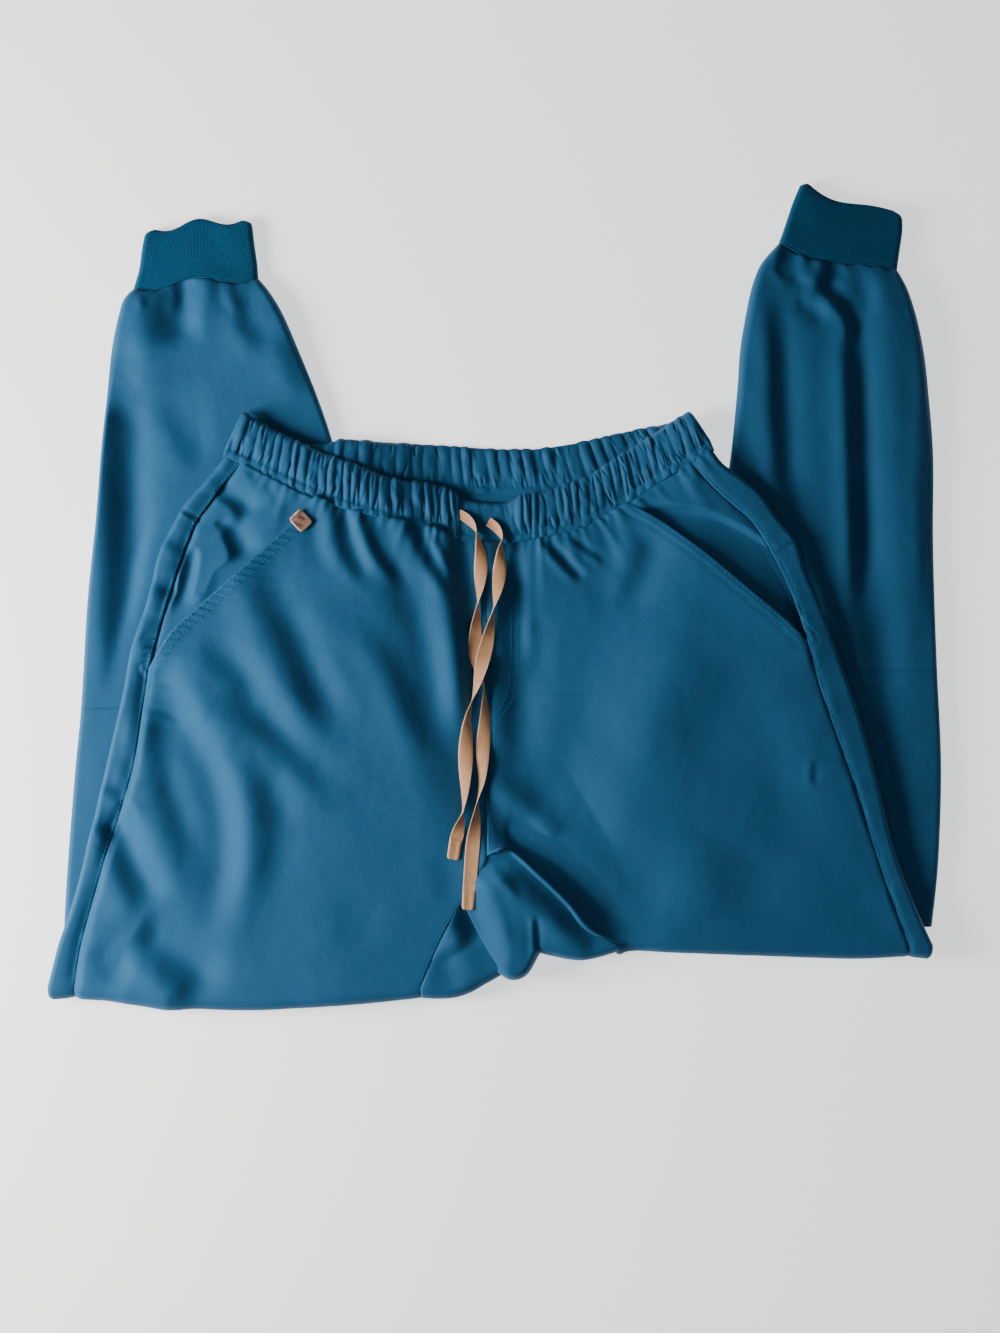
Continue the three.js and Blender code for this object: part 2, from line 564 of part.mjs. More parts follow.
// Back and hidden layers: one rounded solid under the front, whose top shows in the waist opening.
{
  const columns = 14;
  const rows = 14;
  const edgeInset = 7;
  const drawIn = (half) => {
    const edge = along(half.outer, rows);
    return edge.map(([x, y]) => [x - half.side * edgeInset, y]);
  };
  const left = drawIn(RIGHT);
  const right = drawIn(LEFT);
  const top = along(BACK_SEAM, columns * 2).map(([x, y]) => [x, y - 0.2]);
  const bottomLine = [...RIGHT.bend.slice(0, -1), ...INNER_THIGH_BEND.slice(0, -1), [2, -270], [30, -256], [60, -260], ...LEFT.bend];
  const bottom = along(bottomLine.map(([x, y]) => [x, y + 2]), columns * 2);
  left[0] = top[0];
  right[0] = top.at(-1);
  left[rows] = bottom[0];
  right[rows] = bottom.at(-1);
  const grid = spread(left, right, top, bottom);
  const round = (j, i) => {
    const edge = Math.min(i, grid[0].length - 1 - i, j, grid.length - 1 - j);
    return edge === 0 ? 0.55 : 1;
  };
  const outer = grid.map((row, j) => row.map(([x, y], i) => [x, y, support(x, y) + BACK_LAYERS * round(j, i)]));
  const inner = grid.map((row) => row.map(([x, y]) => [x, y, support(x, y)]));
  addPiece("back_layers", shell(outer, inner), twill);
}

// Waistband: an elastic tunnel, gathered all round. Its front half lies on its back half, and
// a short plain stretch in the middle of the front, where the drawstring comes out, sits lower.
const BAND_ROWS = 3;
const PLAIN_MIDDLE = { at: -6, half: 20, dip: 1.6 };
function addBand(name, top, bottom, gathers, rise, plain) {
  const columns = gathers * 2;
  const upper = along(top, columns);
  const lower = along(bottom, columns);
  const rows = Array.from({ length: BAND_ROWS + 1 }, (_, j) => upper.map((p, i) => mix(p, lower[i], j / BAND_ROWS)));
  const grid = insetRim(rows);
  const outer = grid.map((row, j) =>
    row.map(([x, y], i) => {
      const flat = plain ? Math.exp(-(((x - PLAIN_MIDDLE.at) / PLAIN_MIDDLE.half) ** 4)) : 0;
      const swell = 0.5 * Math.sin((Math.PI * j) / BAND_ROWS);
      const gather = (i % 2 ? 1 : -1) * GATHER_HEIGHT * (1 - flat) * (0.75 + 0.25 * Math.sin(i * 1.7));
      return [x, y, support(x, y) + rise + swell + gather - flat * PLAIN_MIDDLE.dip];
    }),
  );
  const under = Math.max(0, rise - BAND_WALL - 0.3);
  const inner = grid.map((row) => row.map(([x, y]) => [x, y, support(x, y) + under]));
  addPiece(name, shell(outer, inner), twill);
}

addBand("waistband_front", BAND_TOP, WAIST_SEAM, FRONT_GATHERS, BAND_RISE, true);
addBand("waistband_back", BACK_BAND_TOP, BACK_SEAM, BACK_GATHERS, BACK_BAND_RISE, false);

// A flattened tube of cloth through a run of sections, its underside flat on the floor. Bow
// shifts a section along the leg, so that a seam or a mouth can be curved.
const TUBE_TOP_COLUMNS = 12;
const TUBE_FLOOR_COLUMNS = 5;
const RIM_MARKS = [0, 0.134, 0.5, 1];
function tube(name, sections, wall, material, relief, bow) {
  const ring = ({ outer, inner, thick, bowed }, shrink) => {
    const length = Math.hypot(inner[0] - outer[0], inner[1] - outer[1]);
    const across = [(inner[0] - outer[0]) / length, (inner[1] - outer[1]) / length];
    const forward = [-across[1] * Math.sign(across[0]), Math.abs(across[0])];
    const half = thick / 2;
    const radius = half - shrink;
    const width = length - 2 * shrink;
    const marks = (count) => {
      const plain = Array.from({ length: count - 1 }, (_, k) => radius + ((width - 2 * radius) * (k + 1)) / count);
      return [...RIM_MARKS.map((m) => m * radius), ...plain, ...RIM_MARKS.map((m) => width - m * radius).reverse()];
    };
    const place = (d, side) => {
      const fromEdge = Math.min(d, width - d);
      const curve = fromEdge >= radius ? 1 : Math.sqrt(1 - (1 - fromEdge / radius) ** 2);
      const x = outer[0] + across[0] * (d + shrink);
      const y = outer[1] + across[1] * (d + shrink);
      const lift = side > 0 ? relief(x, y) * smooth(0, 14, fromEdge) : 0;
      const shift = bow((d + shrink) / length) * bowed;
      return [x + forward[0] * shift, y + forward[1] * shift, half + side * radius * curve + lift];
    };
    const over = marks(TUBE_TOP_COLUMNS).map((d) => place(d, 1));
    const under = marks(TUBE_FLOOR_COLUMNS).map((d) => place(d, -1)).slice(1, -1).reverse();
    return [...over, ...under];
  };
  const outer = sections.map((section) => ring(section, 0));
  const inner = sections.map((section) => ring(section, wall));
  const leftwards = sections[0].inner[0] < sections[0].outer[0];
  addPiece(name, leftwards ? shell(outer, inner, true) : shell(inner, outer, true), material);
}

// The sections between two seams, drawn in by the seam inset at both ends.
function legPart(sections, from, to, firstBow, lastBow) {
  const kept = sections.slice(from, to + 1);
  const draw = (a, b) => {
    const share = SEAM_INSET / Math.hypot(b.outer[0] - a.outer[0], b.outer[1] - a.outer[1]);
    return { ...a, outer: mix(a.outer, b.outer, share), inner: mix(a.inner, b.inner, share) };
  };
  const last = kept.length - 1;
  return kept.map((section, k) => {
    const drawn = k === 0 ? draw(section, kept[1]) : k === last ? draw(section, kept[last - 1]) : section;
    return { ...drawn, bowed: firstBow + (lastBow - firstBow) * (k / last) ** 3 };
  });
}

const LEGS = [
  { name: "r", sections: LEG_RIGHT, cuff: CUFF_RIGHT, bow: (s) => -1.6 * Math.sin(3 * Math.PI * s), reliefFrom: (x, y) => y - 140 },
  { name: "l", sections: LEG_LEFT, cuff: CUFF_LEFT, bow: (s) => -6 * Math.sin(Math.PI * s), reliefFrom: (x, y) => y - 60 + (x - 260) * 0.3 },
];
for (const { name, sections, cuff, bow, reliefFrom } of LEGS) {
  const last = sections.length - 1;
  const relief = (x, y) => legFolds(x, y) * smooth(0, 30, reliefFrom(x, y));
  const plain = () => 0;
  tube(`knee_${name}`, legPart(sections, 0, KNEE_SECTION, 0, 0), CLOTH_WALL, twill, plain, plain);
  tube(`calf_${name}`, legPart(sections, KNEE_SECTION, last, 0, 1), CLOTH_WALL, twill, relief, bow);
  tube(`cuff_${name}`, legPart(cuff, 0, cuff.length - 1, 1, 1), RIB_WALL, rib, plain, bow);
}

// Height of the finished cloth at a point, read from the pieces that are already there.
const downwards = new THREE.Raycaster();
const cloth = [...trousers.children];
for (const mesh of cloth) mesh.updateMatrixWorld();
function clothHeight(x, y) {
  downwards.set(new THREE.Vector3(x, y, 200), new THREE.Vector3(0, 0, -1));
  const hits = downwards.intersectObjects(cloth, false);
  return hits.length ? hits[0].point.z : 0;
}

// The highest cloth under a small disc, for things that lie on it.
function restHeight(x, y, reach) {
  const around = [0, 1, 2, 3, 4, 5, 6, 7].map((k) => (k * Math.PI) / 4);
  const spots = around.flatMap((a) => [0.5, 1].map((r) => [x + reach * r * Math.cos(a), y + reach * r * Math.sin(a)]));
  return Math.max(clothHeight(x, y), ...spots.map(([a, b]) => clothHeight(a, b)));
}

// A flat woven tape along its route, as a solid with an eight-sided section.
const TAPE_STEPS = 32;
const TAPE_SECTION = [[-0.5, 0], [-0.42, 0.4], [0, 0.5], [0.42, 0.4], [0.5, 0], [0.42, -0.4], [0, -0.5], [-0.42, -0.4]];
function tapeSolid(route) {
  const run = along(route.map((row) => row.at), TAPE_STEPS);
  const side = normals(run);
  const lengths = route.map((row, k) => (k ? Math.hypot(row.at[0] - route[k - 1].at[0], row.at[1] - route[k - 1].at[1]) : 0));
  const marks = lengths.map((_, k) => lengths.slice(0, k + 1).reduce((a, b) => a + b, 0));
  const total = marks.at(-1);
  const read = (column, t) => {
    const d = t * total;
    let k = 0;
    while (k + 2 < marks.length && marks[k + 1] < d) k++;
    const share = clamp((d - marks[k]) / (marks[k + 1] - marks[k]), 0, 1);
    return route[k][column] + (route[k + 1][column] - route[k][column]) * share;
  };
  const rest = run.map(([x, y], k) => restHeight(x, y, read("width", k / TAPE_STEPS) / 2));
  const level = rest.map((_, k) => Math.max(...rest.slice(Math.max(0, k - 1), k + 2)));
  const rings = run.map(([x, y], k) => {
    const [width, thick] = ["width", "thick"].map((column) => read(column, k / TAPE_STEPS));
    const z = level[k] + SEAM_INSET * 2 + thick / 2;
    return TAPE_SECTION.map(([a, b]) => [x + side[k][0] * a * width, y + side[k][1] * a * width, z + b * thick]);
  });
  const count = TAPE_SECTION.length;
  const position = rings.flat(2);
  const index = [];
  for (let k = 0; k < TAPE_STEPS; k++) {
    for (let i = 0; i < count; i++) {
      const [a, b] = [k * count + i, k * count + ((i + 1) % count)];
      index.push(a, b + count, b, a, a + count, b + count);
    }
  }
  for (let i = 1; i + 1 < count; i++) {
    index.push(0, i, i + 1);
    index.push(TAPE_STEPS * count, TAPE_STEPS * count + i + 1, TAPE_STEPS * count + i);
  }
  const geometry = new THREE.BufferGeometry();
  geometry.setAttribute("position", new THREE.Float32BufferAttribute(position, 3));
  geometry.setIndex(index);
  geometry.computeVertexNormals();
  return geometry;
}
// The left end lies over the right one where they cross.
cloth.push(addPiece("drawstring_r", tapeSolid(TAPE_RIGHT), tape));
cloth.push(addPiece("drawstring_l", tapeSolid(TAPE_LEFT), tape));

// The small blank tab sewn in at the wearer's right, where the pocket mouth meets the band.
{
  const { at, wide, high, thick, turn } = TAG;
  const cells = 3;
  const grid = Array.from({ length: cells + 1 }, (_, j) =>
    Array.from({ length: cells + 1 }, (__, i) => {
      const [a, b] = [(i / cells - 0.5) * wide, (0.5 - j / cells) * high];
      return [at[0] + a * Math.cos(turn) - b * Math.sin(turn), at[1] + a * Math.sin(turn) + b * Math.cos(turn)];
    }),
  );
  const outer = grid.map((row) => row.map(([x, y]) => [x, y, restHeight(x, y, 3) + SEAM_INSET * 2 + thick]));
  const inner = outer.map((row) => row.map(([x, y, z]) => [x, y, z - thick]));
  addPiece("tag", shell(outer, inner), tagCloth);
}

// The frame's origin: the middle of the cloth's plan box, on the floor.
const box = new THREE.Box3().setFromObject(trousers);
for (const mesh of trousers.children) {
  mesh.geometry.translate(-(box.min.x + box.max.x) / 2, -(box.min.y + box.max.y) / 2, -box.min.z);
}

export default trousers;
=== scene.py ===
# %% [markdown]
# # Scrub joggers, laid out and folded
# A pair of jogger-style work trousers lies face up on a table, and both lower legs are folded
# back behind it. The lesson builds it the way that a maker would sew it: panels, a gathered
# waistband on elastic, slanted pockets, ribbed cuffs and a flat woven drawstring.
#
# The solids of the part come first, as a fixed frame. Every piece below lies where its solid
# lies, and adds what the solid leaves out: folds, puckers, stitches, ribs and weave.

# %% Load the frame
import math
import bpy
import numpy as np
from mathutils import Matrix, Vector


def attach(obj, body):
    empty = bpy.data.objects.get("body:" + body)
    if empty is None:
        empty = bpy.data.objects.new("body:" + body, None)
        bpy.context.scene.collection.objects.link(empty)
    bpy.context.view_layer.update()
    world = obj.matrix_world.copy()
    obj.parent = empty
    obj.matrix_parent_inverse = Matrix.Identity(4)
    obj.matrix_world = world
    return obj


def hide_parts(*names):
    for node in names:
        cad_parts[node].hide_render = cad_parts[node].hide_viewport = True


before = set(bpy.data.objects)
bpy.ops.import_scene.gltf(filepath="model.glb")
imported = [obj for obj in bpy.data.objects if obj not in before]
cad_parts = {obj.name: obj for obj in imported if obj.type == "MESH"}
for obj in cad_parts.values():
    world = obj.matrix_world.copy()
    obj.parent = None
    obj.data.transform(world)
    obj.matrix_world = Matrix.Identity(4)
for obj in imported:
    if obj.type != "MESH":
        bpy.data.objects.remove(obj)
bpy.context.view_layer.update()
print("solids in the frame:", len(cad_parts))

# %% [markdown]
# ## Ground rules
# Plan positions are written in millimetres on the cutting table, as in the solids' own source,
# and ORIGIN moves them to the frame. Folds were placed on the photograph, so their
# tables give photograph pixels, which spot() turns into millimetres at 0.74 mm a pixel.

# %% Helpers for plan positions
ORIGIN = np.array([-0.62, 4.53])
MM_PER_PIXEL = 0.74
ZERO_PIXEL = (495, 590)


def spot(px, py):
    """A photograph pixel in plan millimetres."""
    return np.array([(px - ZERO_PIXEL[0]) * MM_PER_PIXEL, (ZERO_PIXEL[1] - py) * MM_PER_PIXEL])


def spots(pairs):
    return np.array([spot(*p) for p in pairs])


def ease(low, high, x):
    """0 below low, 1 above high, and a smooth rise between them."""
    t = np.clip((np.asarray(x, float) - low) / (high - low), 0, 1)
    return t * t * (3 - 2 * t)


def bell(x, width):
    """1 at the middle, falling smoothly to nothing beyond about two widths."""
    return np.exp(-((x / width) ** 2))


def curve_step(a, b, c, d, t):
    """Goes from b to c as t goes from 0 to 1, heading the way that a and d suggest."""
    m, n = (c - a) / 2, (d - b) / 2
    return (2 * b - 2 * c + m + n) * t**3 + (3 * c - 3 * b - 2 * m - n) * t**2 + m * t + b


FINE_STEPS = 24


def fine_curve(points):
    """A smooth curve through a few points, finely divided."""
    p = np.asarray(points, float)
    ext = np.vstack([p[:1], p, p[-1:]])
    t = np.linspace(0, 1, FINE_STEPS, endpoint=False)[:, None]
    runs = [curve_step(*ext[k : k + 4], t) for k in range(len(p) - 1)]
    return np.vstack(runs + [p[-1:]])


def marks(line):
    """How far along a line each of its points lies."""
    return np.concatenate([[0], np.cumsum(np.linalg.norm(np.diff(line, axis=0), axis=1))])


def resample(line, count):
    s = marks(line)
    at = np.linspace(0, s[-1], count + 1)
    return np.stack([np.interp(at, s, line[:, k]) for k in range(line.shape[1])], axis=1)


def along(points, count):
    """Evenly spaced points on the smooth curve through a few points."""
    return resample(fine_curve(points), count)


def between(points, start, end, count):
    """The stretch of a curve that lies between the points nearest to start and end."""
    fine = along(points, 600)
    a, b = (int(np.argmin(np.linalg.norm(fine - np.asarray(q), axis=1))) for q in (start, end))
    return resample(fine[a : b + 1] if a < b else fine[b : a + 1][::-1], count)


def joined(upper, lower):
    """Two lines that share a point, as one."""
    return np.vstack([upper, lower[1:]])


def left_normals(line):
    """The direction square to a line, to its left, at each of its points."""
    d = np.gradient(line, axis=0)
    n = np.stack([-d[:, 1], d[:, 0]], axis=1)
    return n / np.linalg.norm(n, axis=1)[:, None]


def line_coords(xy, line):
    """Distance of points from a line, positive on its left, and how far along it they lie."""
    best = np.full(len(xy), np.inf)
    side = np.ones(len(xy))
    s = np.zeros(len(xy))
    starts = marks(line)
    for k in range(len(line) - 1):
        d = line[k + 1] - line[k]
        e = xy - line[k]
        t = np.clip((e @ d) / max(d @ d, 1e-9), 0, 1)
        e = e - t[:, None] * d
        r = np.hypot(e[:, 0], e[:, 1])
        near = r < best
        best[near] = r[near]
        side[near] = np.where(d[0] * e[near, 1] - d[1] * e[near, 0] >= 0, 1, -1)
        s[near] = starts[k] + t[near] * (starts[k + 1] - starts[k])
    return best * side, s, starts[-1]


def fold_coords(xy, line):
    """Distance square to a line, how far beyond its ends a point lies, and its share along it."""
    best = np.full(len(xy), np.inf)
    across, beyond, s = np.zeros(len(xy)), np.zeros(len(xy)), np.zeros(len(xy))
    starts = marks(line)
    for k in range(len(line) - 1):
        run = line[k + 1] - line[k]
        size = np.hypot(*run)
        e = xy - line[k]
        t = e @ run / size
        inside = np.clip(t, 0, size)
        d = (run[0] * e[:, 1] - run[1] * e[:, 0]) / size
        r = np.hypot(d, t - inside)
        near = r < best
        best[near], across[near] = r[near], d[near]
        beyond[near] = np.abs(t - inside)[near]
        s[near] = starts[k] + inside[near]
    return across, beyond, s / starts[-1]


NOISE_CELLS = 64


def soft_noise(xy, size, seed, stretch=1.0, angle=0.0):
    """Smooth random hills of a given size in millimetres, stretched along an angle."""
    grid = np.random.default_rng(seed).uniform(-1, 1, (NOISE_CELLS, NOISE_CELLS))
    c, s = math.cos(angle), math.sin(angle)
    u = (xy[:, 0] * c + xy[:, 1] * s) / (size * stretch) + NOISE_CELLS / 2
    v = (-xy[:, 0] * s + xy[:, 1] * c) / size + NOISE_CELLS / 2
    i, j = np.floor(u).astype(int), np.floor(v).astype(int)
    f, g = u - i, v - j
    f, g = (q * q * q * (q * (6 * q - 15) + 10) for q in (f, g))
    i0, i1, j0, j1 = (q % NOISE_CELLS for q in (i, i + 1, j, j + 1))
    top = grid[i0, j0] * (1 - f) + grid[i1, j0] * f
    low = grid[i0, j1] * (1 - f) + grid[i1, j1] * f
    return top * (1 - g) + low * g


print("helpers ready; one photograph pixel is", MM_PER_PIXEL, "mm of cloth")

# %% [markdown]
# ## Outlines
# These are the seams and edges of the trousers as they lie, seen from above. They repeat the
# short runs of points that the solids are built from. The two halves differ, because cloth
# never lies down symmetrically: the wearer's left pocket gapes, and the right one is pulled
# tight.

# %% Outlines in millimetres
WAIST_SEAM = [
    (-200, 98), (-175, 88), (-144, 73), (-115, 61), (-80, 52), (-47, 45), (-16, 35),
    (11, 35), (44, 41), (65, 46), (93, 60), (121, 79), (161, 103),
]
BAND_TOP = [
    (-184, 130), (-144, 109), (-109, 95), (-76, 83), (-43, 78), (-17, 70),
    (11, 69), (36, 74), (65, 83), (86, 96), (114, 114), (142, 132),
]
BACK_BAND_TOP = [
    (-180, 124), (-160, 115), (-143, 109), (-128, 108), (-113, 112), (-93, 111),
    (-40, 108), (18, 105), (55, 109), (92, 117), (126, 124), (138, 128),
]
BACK_SEAM = [
    (-193, 95), (-160, 84), (-130, 77), (-93, 77), (-40, 73), (18, 71),
    (55, 75), (92, 82), (126, 92), (153, 102),
]
CENTRE_SEAM = [(-16, 35), (-8, 0), (-4, -60), (-4, -110), (-6, -155), (-6, -196)]
THIGH_SEAM = [(-23, -232), (-15, -249), (-6, -265), (2, -277)]
GUSSET_BEND = [(2, -277), (12, -281), (22, -278), (30, -262), (42, -264), (66, -268), (93, -262)]
INNER_THIGH_BEND = [(-55, -294), (-31, -294), (-9, -284), (2, -277)]
RIGHT = dict(
    name="r", side=-1,
    outer=[
        (-200, 98), (-215, 80), (-229, 64), (-239, 47), (-249, 26), (-257, -7), (-269, -43),
        (-277, -85), (-295, -161), (-305, -204), (-314, -236), (-323, -262), (-331, -294),
    ],
    seam_upper=[
        (-188, 93), (-201, 78), (-211, 64), (-220, 52), (-227, 36), (-234, 16), (-241, -4),
        (-256, -58),
    ],
    seam_lower=[(-256, -58), (-260, -85), (-267, -130), (-286, -192), (-305, -258), (-311, -294)],
    pocket=[(-134, 68), (-154, 46), (-187, 16), (-213, -7), (-239, -31), (-256, -58)],
    crotch=[(-6, -196), (-13, -212), (-24, -230), (-36, -251), (-46, -272), (-55, -294)],
    bend=[
        (-311, -294), (-289, -295), (-255, -299), (-225, -302), (-189, -303), (-154, -302),
        (-95, -298), (-55, -294),
    ],
)
LEFT = dict(
    name="l", side=1,
    outer=[
        (161, 103), (169, 93), (183, 83), (197, 71), (209, 54), (223, 36), (230, 14), (240, -10),
        (260, -64), (273, -104), (283, -142), (296, -194), (312, -236), (324, -263),
    ],
    seam_upper=[
        (145, 94), (159, 78), (174, 64), (188, 52), (198, 38), (211, 15), (222, -11), (230, -37),
    ],
    seam_lower=[(230, -37), (242, -78), (263, -137), (278, -184), (291, -223), (306, -263)],
    pocket=[(100, 64), (120, 53), (144, 36), (160, 24), (196, -6), (213, -20), (230, -37)],
    crotch=[(-6, -196), (10, -192), (32, -210), (54, -231), (69, -249), (93, -262)],
    bend=[(93, -262), (107, -260), (148, -261), (201, -263), (265, -265), (306, -263)],
)
# Sections of the folded-back legs, from the fold to the cuff: outer edge, inner edge, height.
LEG_R = [
    ((-322, -282), (-10, -282), 9), ((-319, -220), (-38, -222), 9), ((-313, -140), (-72, -142), 9),
    ((-308, -87), (-89, -85), 9), ((-303, -7), (-100, -7), 9), ((-297, 52), (-107, 52), 9),
    ((-293, 104), (-119, 104), 9), ((-289, 141), (-131, 141), 9.5), ((-285, 178), (-145, 176), 12),
    ((-280, 203), (-157, 204), 12.5), ((-276, 216), (-167, 221), 11.5), ((-269, 224), (-176, 232), 10),
]
LEG_L = [
    ((325, -250), (92, -250), 9), ((330, -200), (106, -200), 9), ((332, -130), (123, -130), 9),
    ((329, -59), (145, -58), 9), ((327, -4), (158, -4), 9), ((326, 42), (166, 42), 9),
    ((326, 101), (175, 98), 9.5), ((322, 149), (180, 149), 12), ((319, 175), (182, 178), 13),
    ((314, 200), (186, 203), 13), ((308, 220), (191, 226), 12.5), ((303, 231), (198, 243), 11.5),
    ((299, 238), (211, 258), 10),
]
CUFF_R = [
    ((-269, 224), (-176, 232), 10), ((-265, 238), (-177, 244), 9), ((-263, 252), (-179, 258), 9),
    ((-261, 263), (-180.5, 270.5), 8.6), ((-258.6, 266.5), (-182.2, 273.8), 8.2),
    ((-254, 268.5), (-187, 275.5), 7.4),
]
CUFF_L = [
    ((299, 238), (211, 258), 10), ((301, 252), (216, 272), 9), ((303, 266), (221, 287), 9),
    ((303, 276), (225.5, 298), 8.6), ((301, 279.5), (227.5, 301.5), 8.2),
    ((297, 282), (232, 303), 7.4),
]
KNEE_SECTION = 3
print("waist seam", round(float(marks(fine_curve(WAIST_SEAM))[-1])), "mm over the front")

# %% [markdown]
# ## Folds
# A fold shows as a shaded band, where the cloth slopes away from the window on the left, and
# as a lit band, where it slopes up towards the right. Each row is one such slope: the line
# along its middle, its width in photograph pixels, and how steep it is, positive for a shaded
# slope and negative for a lit one. SEAM keeps it steep right up to the seam it starts at.

# %% Fold tables in photograph pixels
SEAM = "seam"
UPPER_FOLDS = [
    # wearer's right half
    ("hip", [
        (262, 548), (261, 590), (277, 625), (292, 652), (304, 686), (324, 722), (350, 752),
    ], 36, 0.37),
    ("hip shoulder", [(196, 640), (216, 660), (240, 682), (256, 702)], 28, 0.20),
    ("thigh", [(220, 702), (250, 720), (280, 745), (310, 775), (342, 797)], 30, 0.36),
    ("thigh drop", [(256, 745), (268, 790), (270, 830), (264, 870), (252, 905)], 36, 0.15),
    ("side", [(152, 730), (158, 772), (170, 815), (184, 850), (192, 880)], 28, 0.36, SEAM),
    ("low side", [(110, 840), (120, 862), (132, 888), (150, 915)], 30, 0.40, SEAM),
    ("corner", [(128, 946), (158, 962), (184, 980), (201, 1006)], 40, 0.62),
    ("corner left", [(84, 958), (112, 978), (150, 996)], 34, 0.30),
    ("belly", [(352, 618), (384, 655), (401, 690), (416, 722), (434, 748), (458, 768)], 28, 0.26),
    ("belly high", [(306, 640), (330, 655), (352, 684)], 22, 0.10),
    ("waist 1", [(334, 500), (340, 530), (346, 556), (360, 578), (376, 586)], 15, 0.40, SEAM),
    ("waist 2", [(362, 515), (373, 545), (387, 567), (404, 586)], 12, 0.46, SEAM),
    ("waist 3", [(409, 520), (422, 550), (438, 576), (454, 600)], 14, 0.62, SEAM),
    ("waist 4", [(436, 540), (447, 560), (457, 584)], 9, 0.45, SEAM),
    ("waist 5", [(296, 492), (302, 512), (306, 530)], 10, 0.20, SEAM),
    ("waist 6", [(247, 472), (256, 485), (262, 500)], 7, 0.40, SEAM),
    ("waist 7", [(262, 480), (270, 495), (276, 508)], 7, 0.30, SEAM),
    ("centre", [(453, 530), (460, 600), (466, 655), (470, 710), (476, 760)], 27, 0.85, SEAM),
    ("knee dent", [(338, 890), (344, 920), (352, 950)], 44, 0.07),
    ("inner dent", [(436, 850), (440, 880), (448, 905)], 26, 0.10),
    ("long lit", [
        (160, 640), (176, 682), (198, 724), (222, 768), (234, 812), (236, 862), (226, 915),
        (214, 965),
    ], 32, -0.46),
    ("low lit", [(122, 800), (138, 842), (158, 876), (184, 908)], 26, -0.30, SEAM),
    ("hip lit", [(228, 632), (250, 665), (270, 692), (292, 722), (312, 752)], 28, -0.24),
    ("belly lit", [(298, 600), (316, 648), (336, 690), (358, 724)], 32, -0.16),
    ("centre lit", [(410, 560), (428, 615), (440, 660), (449, 702), (459, 738)], 30, -0.34),
    ("waist lit 1", [(316, 505), (322, 540), (334, 575)], 16, -0.26, SEAM),
    ("waist lit 2", [(350, 512), (360, 545), (376, 580)], 12, -0.30, SEAM),
    ("waist lit 3", [(388, 520), (400, 556), (418, 592)], 18, -0.34, SEAM),
    ("under thigh lit", [(276, 770), (290, 800), (300, 830)], 30, -0.12),
    ("strip 1", [(170, 545), (187, 557)], 13, 0.30, SEAM),
    ("strip 2", [(157, 588), (180, 602)], 16, 0.38, SEAM),
    ("strip 3", [(138, 642), (162, 654)], 18, 0.30),
    ("strip 4", [(108, 788), (128, 800)], 16, 0.45, SEAM),
    ("strip 5", [(100, 826), (120, 840)], 14, 0.34, SEAM),
    ("strip lit", [(150, 612), (170, 625)], 14, -0.20, SEAM),
    ("edge pull 1", [(150, 684), (164, 686), (176, 690)], 7, 0.30, SEAM),
    ("edge pull 2", [(150, 712), (166, 716), (180, 724)], 8, 0.34, SEAM),
    ("edge pull 3", [(124, 800), (132, 806), (142, 818)], 9, -0.34, SEAM),
    # wearer's left half
    ("fly floor", [(496, 535), (500, 620), (504, 680), (507, 740), (506, 790)], 34, 0.50, SEAM),
    ("yoke seam r", [(198, 521), (180, 510)], 5, 0.6, SEAM),
    ("yoke seam l", [(786, 546), (774, 551)], 5, 0.6, SEAM),
    ("fly edge", [(523, 546), (525, 600), (526, 665)], 10, -0.26, SEAM),
    ("left waist 1", [(546, 544), (560, 560), (582, 584)], 10, 0.60, SEAM),
    ("left waist 2", [(573, 541), (590, 553), (608, 563)], 8, 0.50, SEAM),
    ("left waist 3", [(642, 530), (640, 560), (629, 586), (612, 606)], 24, 0.34),
    ("left waist lit 1", [(560, 548), (574, 562), (590, 578)], 9, -0.40, SEAM),
    ("left waist lit 2", [(612, 515), (616, 545), (612, 570)], 16, -0.16, SEAM),
    ("beside fly", [(532, 610), (534, 650), (530, 686)], 18, 0.18),
    ("belly crease", [(528, 690), (556, 694), (596, 695)], 6, 0.16),
    ("belly swell", [(590, 590), (575, 660), (565, 730)], 70, -0.05),
    ("belly fall", [(720, 640), (700, 700), (655, 780)], 70, 0.12),
    ("groin lit", [(490, 796), (510, 811), (532, 830), (556, 850)], 26, -0.50, SEAM),
    ("groin hollow", [(514, 848), (546, 870), (576, 898), (600, 924), (624, 950)], 30, 0.75, SEAM),
    ("groin hollow wide", [(530, 838), (566, 862), (596, 890), (620, 920), (636, 950)], 66, 0.36, SEAM),
    ("thigh fall", [(735, 840), (725, 880), (722, 930)], 60, 0.10),
    ("side crease 1", [(815, 760), (811, 772), (813, 788)], 8, 0.42),
    ("side crease 2", [(826, 764), (838, 762), (848, 768)], 7, 0.30),
    ("long left lit", [(780, 700), (800, 780), (830, 860)], 50, -0.10),
]
